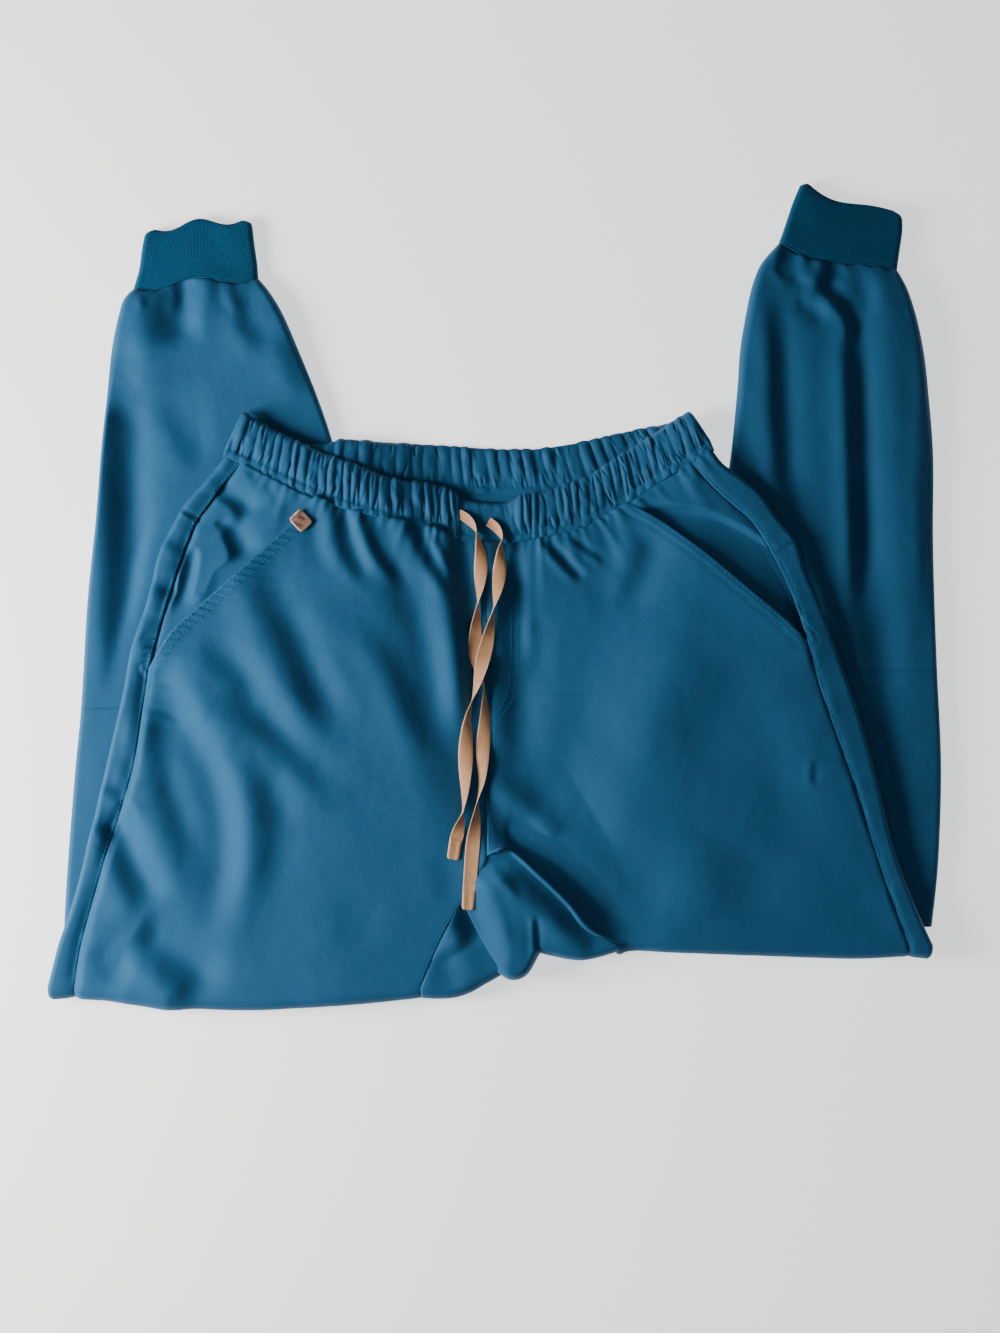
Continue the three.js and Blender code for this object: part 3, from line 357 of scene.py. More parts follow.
LEG_FOLDS = [
    # wearer's right lower leg, seen above the waist
    ("cuff dark r", [(160, 284), (158, 315), (161, 352)], 38, 0.42, SEAM),
    ("cuff pinch r", [(176, 284), (177, 300), (176, 316)], 11, 0.40, SEAM),
    ("cuff lit r", [(197, 280), (192, 315), (196, 350)], 22, -0.42, SEAM),
    ("cuff dark r2", [(236, 300), (244, 325), (268, 348)], 24, 0.28, SEAM),
    ("cuff lit r2", [(222, 280), (226, 300), (236, 318)], 13, -0.30, SEAM),
    ("calf lit r", [(128, 340), (134, 370), (136, 400)], 34, -0.22),
    ("calf dark r", [(150, 392), (170, 428), (190, 458), (202, 482)], 32, 0.24),
    ("calf fall r", [(285, 330), (296, 370), (312, 410)], 30, 0.24),
    ("rim dark r", [(113, 420), (114, 510), (114, 600), (112, 704)], 38, 0.60, SEAM),
    ("rim lit r", [(140, 440), (140, 500), (146, 570)], 26, -0.12),
    ("cuff small r", [(140, 284), (143, 296), (147, 308)], 8, 0.34, SEAM),
    # wearer's left lower leg
    ("hook blob", [(790, 232), (784, 248), (780, 264)], 13, 0.66, SEAM),
    ("hook curl", [(774, 260), (782, 270), (792, 274)], 8, 0.50),
    ("hook lit", [(800, 245), (800, 262), (806, 278)], 12, -0.44, SEAM),
    ("hook 2 top", [(806, 243), (820, 246), (832, 254)], 8, 0.46, SEAM),
    ("hook 2", [(836, 252), (826, 268), (817, 286)], 17, 0.85),
    ("hook 2 tail", [(820, 284), (838, 298), (850, 318), (853, 345)], 14, 0.70),
    ("hook 2 lit", [(798, 288), (818, 298), (834, 316)], 16, -0.44),
    ("trough l1", [(772, 285), (775, 350), (778, 420), (784, 490), (798, 550)], 22, 0.52),
    ("lit l1", [(800, 310), (803, 380), (806, 440), (822, 520), (838, 592)], 34, -0.05),
    ("trough l2", [(850, 305), (852, 380), (855, 450), (858, 540), (858, 640)], 20, 0.74),
    ("trough l3", [(864, 600), (872, 700), (886, 800), (904, 880)], 30, 0.30),
    ("lit l2", [(876, 290), (880, 380), (884, 470), (892, 600), (906, 720)], 34, -0.24, SEAM),
    ("rim lit l", [(748, 380), (746, 420), (752, 455)], 16, -0.12),
    ("rim fall l", [(922, 300), (928, 400), (926, 520), (930, 640)], 18, 0.30),
    ("cuff crease l", [(838, 258), (854, 263), (868, 266)], 6, 0.34, SEAM),
    ("cuff lit l", [(866, 262), (872, 285), (876, 320)], 16, -0.26, SEAM),
]
LIGHT_WAY = np.array([1.0, 0.12])
STEEPEST = 1.65
FOLD_STRENGTH = 0.95
FOLD_REACH = 3.6
FADE_IN, FADE_OUT = (-0.04, 0.24), (0.66, 1.03)


def add_folds(xy, table):
    """Adds each slope as a crest on the window's side of its line and a trough beyond it."""
    z = np.zeros(len(xy))
    for _, pixels, width, slope, *kind in table:
        line = along(spots(pixels), 16)
        w = width * MM_PER_PIXEL / 2
        low, high = line.min(0) - FOLD_REACH * w, line.max(0) + FOLD_REACH * w
        near = np.all((xy > low) & (xy < high), axis=1)
        if not near.any():
            continue
        d, beyond, t = fold_coords(xy[near], line)
        away = np.sign((left_normals(line) @ LIGHT_WAY).mean())
        start = 1.0 if kind else ease(*FADE_IN, t)
        end = 1 - ease(*FADE_OUT, t)
        q = d * away / w
        fade = np.exp(0.5 - 0.5 * q * q - (beyond / w) ** 2)
        z[near] -= FOLD_STRENGTH * slope * w / STEEPEST * q * fade * start * end
    return z


print("folds placed by hand:", len(UPPER_FOLDS) + len(LEG_FOLDS))

# %% [markdown]
# ## The height of the cloth
# The trousers are layers: the folded-back legs, the back panels, then the fronts. support()
# gives the height under the upper cloth: full over the legs, and down to the table between
# them. cloth_top() adds the panels' thickness, the folds, the puckers beside the seams and
# the gathers that fan out from the waist.

# %% Height functions
# CLOTH is a front's height over what holds it up, air included. HANG is how far from a leg's
# edge the cloth has sunk to the table, and DEEPEST how far a fold may sink into the front.
CLOTH = 8.5
LEG_TOP = 9.6
HANG = 80
DEEPEST = -5.2


def inner_edge(sections, y):
    inner = np.array([row[1] for row in sections], float)
    return np.interp(y, inner[:, 1], inner[:, 0])


def support(xy):
    """How high the layers under the upper cloth hold it."""
    x, y = xy[:, 0], xy[:, 1]
    right = 1 - ease(8, HANG, x - inner_edge(LEG_R, y))
    left = 1 - ease(8, HANG, inner_edge(LEG_L, y) - x)
    near_fold = ease(0, 85, -120 - y)
    return LEG_TOP * np.maximum(np.maximum(right, left), near_fold)


def side_seam(half, upper, lower):
    return joined(along(half["seam_upper"], upper), along(half["seam_lower"], lower))


def spaced(count, source):
    """Edges of a row of gathers of uneven widths, as shares of the whole."""
    widths = source.uniform(0.7, 1.3, count)
    return np.concatenate([[0], np.cumsum(widths)]) / widths.sum()


THIGH_LINE = along(THIGH_SEAM, 30)
SEAM_LINES = {"waist": along(WAIST_SEAM, 90), "centre": along(CENTRE_SEAM, 50)}
for half in (RIGHT, LEFT):
    SEAM_LINES["pocket_" + half["name"]] = along(half["pocket"], 50)
    SEAM_LINES["side_" + half["name"]] = side_seam(half, 40, 50)
    SEAM_LINES["crotch_" + half["name"]] = along(half["crotch"], 30)
rng = np.random.default_rng(7)
GATHERS = 52
GATHER_EDGES = spaced(GATHERS, rng)
FAN_HEIGHT = rng.uniform(0.5, 1.5, GATHERS)
FAN_REACH = rng.uniform(7, 26, GATHERS)
FAN_LEAN = rng.uniform(-0.25, 0.25, GATHERS)


def from_seam(xy, name):
    """Distance from a seam, how far along it, and the seam's length."""
    return line_coords(xy, SEAM_LINES[name])


def waist_fan(xy):
    """Small gathers that run down from the waist seam into the panels and die out."""
    z = np.zeros(len(xy))
    near = xy[:, 1] > -60
    if not near.any():
        return z
    d, s, total = from_seam(xy[near], "waist")
    depth = np.abs(d)
    u = s / total
    plain = np.exp(-(((u - 0.5) / 0.05) ** 4))
    rise = np.zeros(near.sum())
    for k in range(GATHERS):
        middle = (GATHER_EDGES[k] + GATHER_EDGES[k + 1]) / 2
        half = (GATHER_EDGES[k + 1] - GATHER_EDGES[k]) * total * 0.36
        shift = (s - middle * total - FAN_LEAN[k] * depth) / (half * (1 + depth / 30))
        rise += FAN_HEIGHT[k] * bell(shift, 1) * np.exp(-((depth / FAN_REACH[k]) ** 1.3))
    z[near] = (rise - 0.45 * np.exp(-depth / 14)) * (1 - plain) * 1.15
    return z


ROPE_PITCH = 6.6
SIDE_SEAMS = (
    # seam, depth, seed, reach outside, reach inside
    ("side_r", 2.6, 3, 6.0, 3.2),
    ("side_l", 0.9, 4, 3.0, 1.5),
)


def seam_relief(xy):
    """Rolled edges, grooves and small puckers beside the seams."""
    z = np.zeros(len(xy))
    d, s, total = from_seam(xy, "pocket_r")
    rope = np.sin(2 * math.pi * (s + 0.75 * d) / ROPE_PITCH + 0.8 * np.sin(s / 17))
    z += bell(d, 9) * 1.5 + 0.62 * rope * bell(np.abs(d) - 4.5, 4.2) * ease(4, 20, s)
    d, s, total = from_seam(xy, "pocket_l")
    z += 2.6 * bell(d, 20)
    z -= 0.35 * bell(np.abs(d) - 7.5, 1.4) + 0.3 * bell(np.abs(d) - 1.8, 1.2)
    for name, depth, seed, outer_reach, inner_reach in SIDE_SEAMS:
        d, s, total = from_seam(xy, name)
        reach = np.where((d > 0) == (name == "side_l"), outer_reach, inner_reach)
        z -= depth * bell(d, reach)
        along_seam = np.stack([s, np.zeros(len(s))], axis=1)
        pull = soft_noise(along_seam, 8.5, seed) + 0.7 * soft_noise(along_seam, 19, seed + 20)
        z += 0.8 * pull * np.exp(-np.abs(d) / 9) * ease(0, 3.0, np.abs(d))
    d, s, total = from_seam(xy, "centre")
    z -= 0.8 * bell(d, 1.6)
    d, s, total = from_seam(xy, "crotch_r")
    z -= 0.4 * bell(d, 1.6) * ease(10, 30, s)
    d, s, total = from_seam(xy, "crotch_l")
    dip = bell(d - 5, np.where(d > 5, 22, 6))
    z -= 4.4 * dip * ease(0, 22, s) * (1 - 0.45 * ease(0.8, 1, s / total))
    return z


def crumple(xy):
    """The small unevenness that a washed twill keeps."""
    z = 0.6 * soft_noise(xy, 50, 11, 1.8, 2.1)
    z += 0.22 * soft_noise(xy, 21, 12, 2.2, 2.2)
    z += 0.10 * soft_noise(xy, 8, 13, 2.0, 1.3)
    return z


def cloth_top(xy):
    """The height of the fronts' outer face."""
    relief = add_folds(xy, UPPER_FOLDS) + seam_relief(xy) + waist_fan(xy) + crumple(xy)
    return support(xy) + CLOTH + np.maximum(relief, DEEPEST + 0.1 * relief)


GUSSET_FOLDS = [
    ("lobe lit", [(474, 890), (483, 918), (497, 952)], 22, -0.34, SEAM),
    ("notch", [(534, 912), (535, 930), (536, 962)], 6, 0.8),
    ("second lit", [(546, 930), (562, 944), (588, 956)], 24, -0.24, SEAM),
    ("top crease", [(497, 868), (512, 884), (522, 900)], 10, 0.30, SEAM),
    ("roll", [(512, 872), (542, 897), (572, 925), (598, 948)], 26, 0.50, SEAM),
]
THIGH_FOLDS = [
    ("thigh dark", [(455, 905), (463, 926), (474, 946)], 26, 0.75, SEAM),
    ("thigh lit", [(452, 950), (458, 968), (468, 984)], 24, -0.20),
]
LUMP_CREST = [(484, 866), (494, 888), (506, 916), (512, 946), (510, 972)]
LUMP_HEIGHT = 6.6
LUMP_FLANKS = (46, 13)


def lump_top(xy):
    """The gusset: a dome between the legs, with its right rim just under the left front."""
    z = support(xy) + CLOTH + 1.2 + 0.5 * crumple(xy) + add_folds(xy, GUSSET_FOLDS)
    d, s, total = line_coords(xy, along(spots(LUMP_CREST), 20))
    flank = np.where(d > 0, *LUMP_FLANKS)
    z += LUMP_HEIGHT * bell(d, flank) * ease(-4, 14, s)
    d, s, total = from_seam(xy, "crotch_l")
    over = ease(-3.4, 3.0, d) * ease(0, 5, s)
    z += (cloth_top(xy) - 1.4 - z) * over
    d, s, total = line_coords(xy, THIGH_LINE)
    return z - 0.5 * bell(d, 1.1)


def leg_relief(xy, side):
    """Folds of a lower leg, only where the upper cloth doesn't press it flat."""
    x, y = xy[:, 0], xy[:, 1]
    outer = along(RIGHT["outer"] if side < 0 else LEFT["outer"], 60)
    beyond = (x - np.interp(-y, -outer[:, 1], outer[:, 0])) * side
    free = np.maximum(ease(4, 22, beyond), ease(0, 26, y - (136 if side < 0 else 110)))
    bare = add_folds(xy, LEG_FOLDS) + 1.1 * crumple(xy + 400)
    return bare * free


over_leg = float(cloth_top(np.array([[-200.0, -150.0]]))[0])
print("height over a leg", round(over_leg, 1), "mm")

# %% [markdown]
# ## Camera
# The photograph looks straight down from about 1.6 m. The trousers fill the width of an
# upright frame, so a 58 mm lens on a 36 mm sensor sees 0.99 m from top to bottom.

# %% Make the camera
lens = bpy.data.cameras.new("camera")
lens.lens = 57.9
lens.sensor_width = 36
camera = bpy.data.objects.new("camera", lens)
camera.location = (0.0031, -0.0521, 1.6)
bpy.context.collection.objects.link(camera)
bpy.context.scene.camera = camera
print("camera at", tuple(round(v, 3) for v in camera.location))

# %% [markdown]
# ## Materials
# The trousers are a stretch twill, dyed one deep teal blue. Seen close up it has a fine
# diagonal rib, a faint cloudiness from washing and a soft sheen. The rib of the cuffs is the
# same yarn, knitted. The drawstring is a flat woven tape in a warm tan, with a chevron weave.

# %% Material helpers and finishes
def new_material(name):
    m = bpy.data.materials.new(name)
    m.use_nodes = True
    tree = m.node_tree
    return m, tree, tree.nodes["Principled BSDF"]


def dress(tree, n, feed=(), **values):
    """Sets a node's values by name, with _ for a space, then links (input, output) pairs."""
    for key, value in values.items():
        label = key.replace("_", " ")
        if label in n.inputs:
            n.inputs[label].default_value = value
        else:
            setattr(n, key, value)
    for key, socket in feed:
        tree.links.new(socket, n.inputs[key])
    return n


def node(tree, kind, feed=(), **values):
    return dress(tree, tree.nodes.new(kind), feed, **values)


def maths(tree, operation, *terms):
    """A maths node on outputs and plain numbers."""
    n = node(tree, "ShaderNodeMath", operation=operation)
    for k, term in enumerate(terms):
        if isinstance(term, (int, float)):
            n.inputs[k].default_value = term
        else:
            tree.links.new(term, n.inputs[k])
    return n.outputs[0]


def noise(tree, where, **values):
    return node(tree, "ShaderNodeTexNoise", [("Vector", where)], **values).outputs


def ramp(tree, value, dark, light, low=0.0, high=1.0):
    n = node(tree, "ShaderNodeValToRGB", [(0, value)])
    for stop, place, colour in zip(n.color_ramp.elements, (low, high), (dark, light)):
        stop.position = place
        stop.color = (*colour, 1)
    return n.outputs["Color"]


def bump(tree, height, strength, distance, before=None):
    feed = [("Height", height)] + ([("Normal", before)] if before else [])
    return node(tree, "ShaderNodeBump", feed, Strength=strength, Distance=distance).outputs[0]


def object_place(tree):
    return node(tree, "ShaderNodeTexCoord").outputs["Object"]


def weave_place(tree):
    """The weave coordinates: across the yarns in X and along them in Y."""
    where = node(tree, "ShaderNodeUVMap", uv_map="weave").outputs[0]
    return node(tree, "ShaderNodeSeparateXYZ", [(0, where)]).outputs


def waves(tree, turns):
    return maths(tree, "SINE", maths(tree, "MULTIPLY", turns, 2 * math.pi))


def blue_cloth(name, dark, light, weave_mm, weave_strength, rough, turn=0.62):
    m, tree, shader = new_material(name)
    where = object_place(tree)
    cloud = noise(tree, where, Scale=9.0, Detail=5.0, Roughness=0.62)["Fac"]
    fibre = noise(tree, where, Scale=1500.0, Detail=3.0, Roughness=0.7)["Fac"]
    crinkle = noise(tree, where, Scale=95.0, Detail=5.0, Roughness=0.58)["Fac"]
    turned = node(tree, "ShaderNodeMapping", [("Vector", where)], Rotation=(0, 0, turn))
    weave = node(
        tree, "ShaderNodeTexWave", [("Vector", turned.outputs[0])], wave_type="BANDS",
        bands_direction="X", Scale=1000 / weave_mm / 20 * math.pi, Distortion=1.2, Detail=2.0,
        Detail_Scale=3.0,
    )
    shade = maths(tree, "MULTIPLY_ADD", cloud, 0.62, maths(tree, "MULTIPLY", fibre, 0.38))
    relief = bump(tree, crinkle, 0.5, 0.0011)
    relief = bump(tree, fibre, 0.35, 0.0002, relief)
    relief = bump(tree, weave.outputs["Fac"], weave_strength, 0.00022, relief)
    colour = ramp(tree, shade, dark, light, 0.30, 0.72)
    dress(
        tree, shader, [("Base Color", colour), ("Normal", relief)], Roughness=rough,
        Specular_IOR_Level=0.22, Specular_Tint=(0.50, 0.88, 1.0, 1), Sheen_Weight=0.10,
        Sheen_Roughness=0.45, Sheen_Tint=(0.45, 0.72, 0.95, 1),
    )
    return m


def knit_columns(material, depth):
    """Adds the fine columns of a rib knit, counted off by the weave coordinates."""
    tree = material.node_tree
    shader = tree.nodes["Principled BSDF"]
    before = shader.inputs["Normal"].links[0].from_socket
    columns = waves(tree, weave_place(tree)["X"])
    dress(tree, shader, [("Normal", bump(tree, columns, 0.5, depth, before))])


def tape_cloth():
    m, tree, shader = new_material("drawstring_tape")
    weave = weave_place(tree)
    # The chevron: diagonal ribs that turn back at the middle of the tape.
    fold = maths(tree, "PINGPONG", weave["X"], 0.25)
    ribs = waves(tree, maths(tree, "MULTIPLY_ADD", fold, 6.0, weave["Y"]))
    ribs = maths(tree, "MULTIPLY_ADD", ribs, 0.5, 0.5)
    colour = ramp(tree, ribs, (0.62, 0.27, 0.11), (0.95, 0.51, 0.26))
    dirt = noise(tree, object_place(tree), Scale=260.0, Detail=4.0)["Color"]
    tint = node(
        tree, "ShaderNodeMix", [("A", colour), ("B", dirt)], data_type="RGBA",
        blend_type="MULTIPLY", Factor=0.45,
    )
    # The two selvedges get a lighter colour: a painted highlight where the tape's edges catch the light.
    off_middle = maths(tree, "ABSOLUTE", maths(tree, "SUBTRACT", weave["X"], 0.5))
    rim = node(tree, "ShaderNodeMapRange", [("Value", off_middle)], From_Min=0.43, From_Max=0.47)
    painted_edge_highlight = node(
        tree, "ShaderNodeMix", [("Factor", rim.outputs["Result"]), ("A", tint.outputs["Result"])],
        data_type="RGBA", B=(0.90, 0.62, 0.42, 1),
    )
    surface = [("Base Color", painted_edge_highlight.outputs["Result"]), ("Normal", bump(tree, ribs, 0.7, 0.0003))]
    dress(tree, shader, surface, Roughness=0.62, Sheen_Weight=0.3)
    return m


def plain_cloth(name, colour, rough, grain):
    m, tree, shader = new_material(name)
    grain = noise(tree, object_place(tree), Scale=grain, Detail=4.0)["Fac"]
    colour = ramp(tree, grain, [c * 0.72 for c in colour], [min(1, c * 1.2) for c in colour])
    surface = [("Base Color", colour), ("Normal", bump(tree, grain, 0.5, 0.0002))]
    dress(tree, shader, surface, Roughness=rough)
    return m


TWILL = blue_cloth("twill", (0.0148, 0.080, 0.179), (0.0190, 0.104, 0.225), 0.62, 0.45, 0.62)
RIB = blue_cloth("rib_knit", (0.0040, 0.056, 0.126), (0.0060, 0.074, 0.158), 0.9, 0.6, 0.8, 1.2)
knit_columns(RIB, 0.00015)
THREAD = blue_cloth("thread", (0.012, 0.135, 0.285), (0.018, 0.175, 0.345), 0.3, 0.3, 0.5)
TAPE = tape_cloth()
TAB = plain_cloth("tab_cloth", (0.24, 0.135, 0.10), 0.42, 1500)
TAB_EDGE = plain_cloth("tab_edge", (0.56, 0.37, 0.29), 0.5, 1500)
print("materials:", len(bpy.data.materials))

# %% [markdown]
# ## Making cloth
# A panel is a grid of points in plan, spread between its four edges, and lifted by a height
# function. Where a panel turns under at the thigh fold, the grid carries on round a half
# circle. Each panel is a real layer, 1.2 mm thick where nothing else is said.

# %% Panel builder
THICK = 1.2


def spread(left, right, top, bottom):
    """A grid between four edges."""
    rows, cols = len(left) - 1, len(top) - 1
    u = np.linspace(0, 1, cols + 1)[None, :, None]
    v = np.linspace(0, 1, rows + 1)[:, None, None]
    sides = left[:, None] * (1 - u) + right[:, None] * u
    ends = top[None] * (1 - v) + bottom[None] * v
    corners = (top[0] * (1 - u) + top[-1] * u) * (1 - v) + (bottom[0] * (1 - u) + bottom[-1] * u) * v
    return sides + ends - corners


def relax(plan, rounds):
    """Evens out the inside of a plan grid, so that no row crosses another."""
    for _ in range(rounds):
        inside = plan[:-2, 1:-1] + plan[2:, 1:-1] + plan[1:-1, :-2] + plan[1:-1, 2:]
        plan[1:-1, 1:-1] = inside / 4
    return plan


TUCK_REACH, TUCK_DROP = 3.0, 0.7


def tuck(grid):
    """Adds the seam allowance of the first row, tucked in under the waistband."""
    way = grid[0, :, :2] - grid[1, :, :2]
    way /= np.maximum(np.linalg.norm(way, axis=1), 1e-6)[:, None]
    row = grid[0].copy()
    row[:, :2] += way * TUCK_REACH
    row[:, 2] -= TUCK_DROP
    return np.concatenate([row[None], grid])


def lift(plan, height):
    """Gives every point of a plan grid its height."""
    flat = plan.reshape(-1, 2)
    return np.concatenate([flat, height(flat)[:, None]], axis=1).reshape(*plan.shape[:2], 3)


def straight(start, end, count):
    return start + (end - start) * np.linspace(0, 1, count + 1)[:, None]


def panel(left, right, top, bottom, height, rounds=40):
    """A lifted grid between four edges, with the corners taken from the top and the bottom."""
    left[0], right[0], left[-1], right[-1] = top[0], top[-1], bottom[0], bottom[-1]
    return lift(relax(spread(left, right, top, bottom), rounds), height)


BEND_STEPS = 12
LOWEST = 0.6


def bend_under(grid, outward, turn=math.pi, flap=0.0):
    """Carries the last row round the fold: outward is the direction of the turn."""
    last = grid[-1]
    axis = (last[:, 2] + LOWEST) / 2
    reach = last[:, 2] - axis
    rows = [grid]
    for k in range(1, BEND_STEPS + 1):
        a = turn * k / BEND_STEPS
        row = last.copy()
        row[:, :2] += outward * (reach * math.sin(a))[:, None]
        row[:, 2] = axis + reach * math.cos(a)
        rows.append(row[None])
    if flap:
        for k in range(1, 4):
            row = rows[-1][0].copy()
            row[:, :2] -= outward * flap / 3
            rows.append(row[None])
    return np.concatenate(rows)


def turn_out(line, depth=1.0):
    """Which way each point of the thigh fold turns: out in the middle, down at both ends."""
    n = -left_normals(line)
    wave = np.sin(np.linspace(0, math.pi, len(line)))
    return np.stack([n[:, 0] * wave * depth, -np.abs(n[:, 1]) * depth], axis=1)


def roll_off(column, way, radius, turn, steps):
    """Columns that carry an edge on round a small roll, out along way and down."""
    for k in range(1, steps + 1):
        a = turn * k / steps
        p = column.copy()
        p[:, :2] += way * np.reshape(radius * math.sin(a), (-1, 1))
        p[:, 2] += radius * (math.cos(a) - 1)
        yield p[:, None]


def new_object(name, points, faces, material):
    """A smooth mesh from points in plan millimetres, moved into the frame."""
    verts = points.reshape(-1, 3).copy()
    verts[:, :2] += ORIGIN
    mesh = bpy.data.meshes.new(name)
    mesh.from_pydata((verts / 1000).tolist(), [], faces)
    mesh.polygons.foreach_set("use_smooth", [True] * len(faces))
    mesh.materials.append(material)
    mesh.update()
    obj = bpy.data.objects.new(name, mesh)
    bpy.context.collection.objects.link(obj)
    return obj


def mesh_from(name, grid, material, ring=False, thick=THICK, uv=None):
    rows, cols = grid.shape[:2]
    i = np.arange(cols if ring else cols - 1)
    j = np.arange(rows - 1)[:, None]
    a, b = (j * cols + i).ravel(), (j * cols + (i + 1) % cols).ravel()
    obj = new_object(name, grid, np.stack([a, a + cols, b + cols, b], axis=1).tolist(), material)
    if uv is not None:
        mesh = obj.data
        corner = np.empty(len(mesh.loops), dtype=np.int32)
        mesh.loops.foreach_get("vertex_index", corner)
        layer = mesh.uv_layers.new(name="weave")
        layer.data.foreach_set("uv", uv.reshape(-1, 2)[corner].ravel())
    if thick:
        shell = obj.modifiers.new("thickness", "SOLIDIFY")
        shell.thickness = thick / 1000
        shell.offset = -1
        shell.use_even_offset = False
    return obj


def cloth(name, grid, nodes, flat, area, held="folded", slot="twill", material=TWILL, **build):
    """A panel of cloth that takes the place of its solids."""
    obj = mesh_from(name, grid, material, **build)
    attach(obj, "root")
    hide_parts(*nodes)
    quads = (grid.shape[0] - 1) * (grid.shape[1] - 1)
    print(f"{name}: {quads} quads, cut {flat[0]:.2f} x {flat[1]:.2f} m")


print("panel tools ready; a layer is", THICK, "mm thick")

# %% [markdown]
# ## Drawstring
# One flat tape runs through the waistband and comes out through two sewn buttonholes, so two
# tails show. The tape turns over on itself twice on the way down each tail, the wearer's
# left tail lies over the right one, and each end is folded back and stitched.

# %% Route and make the two tails
TAPE_R = [
    ((-27, 57), 7), ((-21, 53.5), 8), ((-15.6, 47.4), 9.5), ((-12.6, 39.2), 10), ((-10.4, 24.4), 10),
    ((-11.1, 7.4), 10), ((-12.6, -7.4), 10), ((-14.1, -25.2), 10), ((-14.8, -45.1), 10),
    ((-12.3, -58), 10), ((-8.4, -70.3), 10), ((-7.4, -85), 10), ((-7.6, -100), 10),
    ((-9, -118), 10.4), ((-10, -140), 10), ((-12.8, -154.7), 10), ((-14.4, -170), 10.4),
    ((-16.6, -191), 10.4), ((-18.2, -213), 10), ((-19, -221), 9.4), ((-20, -236), 9),
]
TAPE_L = [
    ((-5, 51), 7), ((1, 46.6), 8), ((5.2, 38.5), 9.5), ((4.4, 31.1), 10), ((3.7, 17.8), 10),
    ((2.2, 4.4), 10), ((-0.7, -11.8), 10), ((-5, -34.8), 10.6), ((-9.6, -54.8), 10.6),
    ((-13.6, -72), 10), ((-16.8, -82), 10), ((-20, -96.2), 10.4), ((-21.2, -110.3), 10.8),
    ((-21.8, -125.1), 10.8), ((-22.4, -147.3), 10), ((-24, -164.3), 10), ((-27, -177.6), 10),
    ((-29, -186), 9.4), ((-31, -199), 9),
]
# How far each tape has turned over, in half turns, at heights down the front.
TURNS_R = [(57, 0.1), (43, 0.5), (-9, 1.5), (-72, 2.5), (-155, 3.5), (-190, 4), (-236, 4)]
TURNS_L = [(51, 0.1), (37, 0.5), (-13, 1.5), (-82, 2.5), (-164, 3.5), (-182, 3.95), (-199, 4)]
BAND_RISE = 8.2
FOLDED_END = 14
TAPE_HALF_THICK = 0.42
TAPE_STEPS = 230
TAPE_CORNERS = 24
TAPE_GAP = 1.3


def under_tape(xy):
    """What the tails lie on: the lower edge of the band, the fronts, and the gusset's rim."""
    d, s, total = from_seam(xy, "waist")
    on_band = ease(-2.5, 2.5, d)
    band = support(xy) + BAND_RISE - 1.2
    d, s, total = from_seam(xy, "crotch_r")
    on_gusset = ease(-2.5, 0.5, d) * ease(0, 6, -198 - xy[:, 1])
    front = cloth_top(xy) * (1 - on_gusset) + lump_top(xy) * on_gusset
    return band * on_band + front * (1 - on_band)


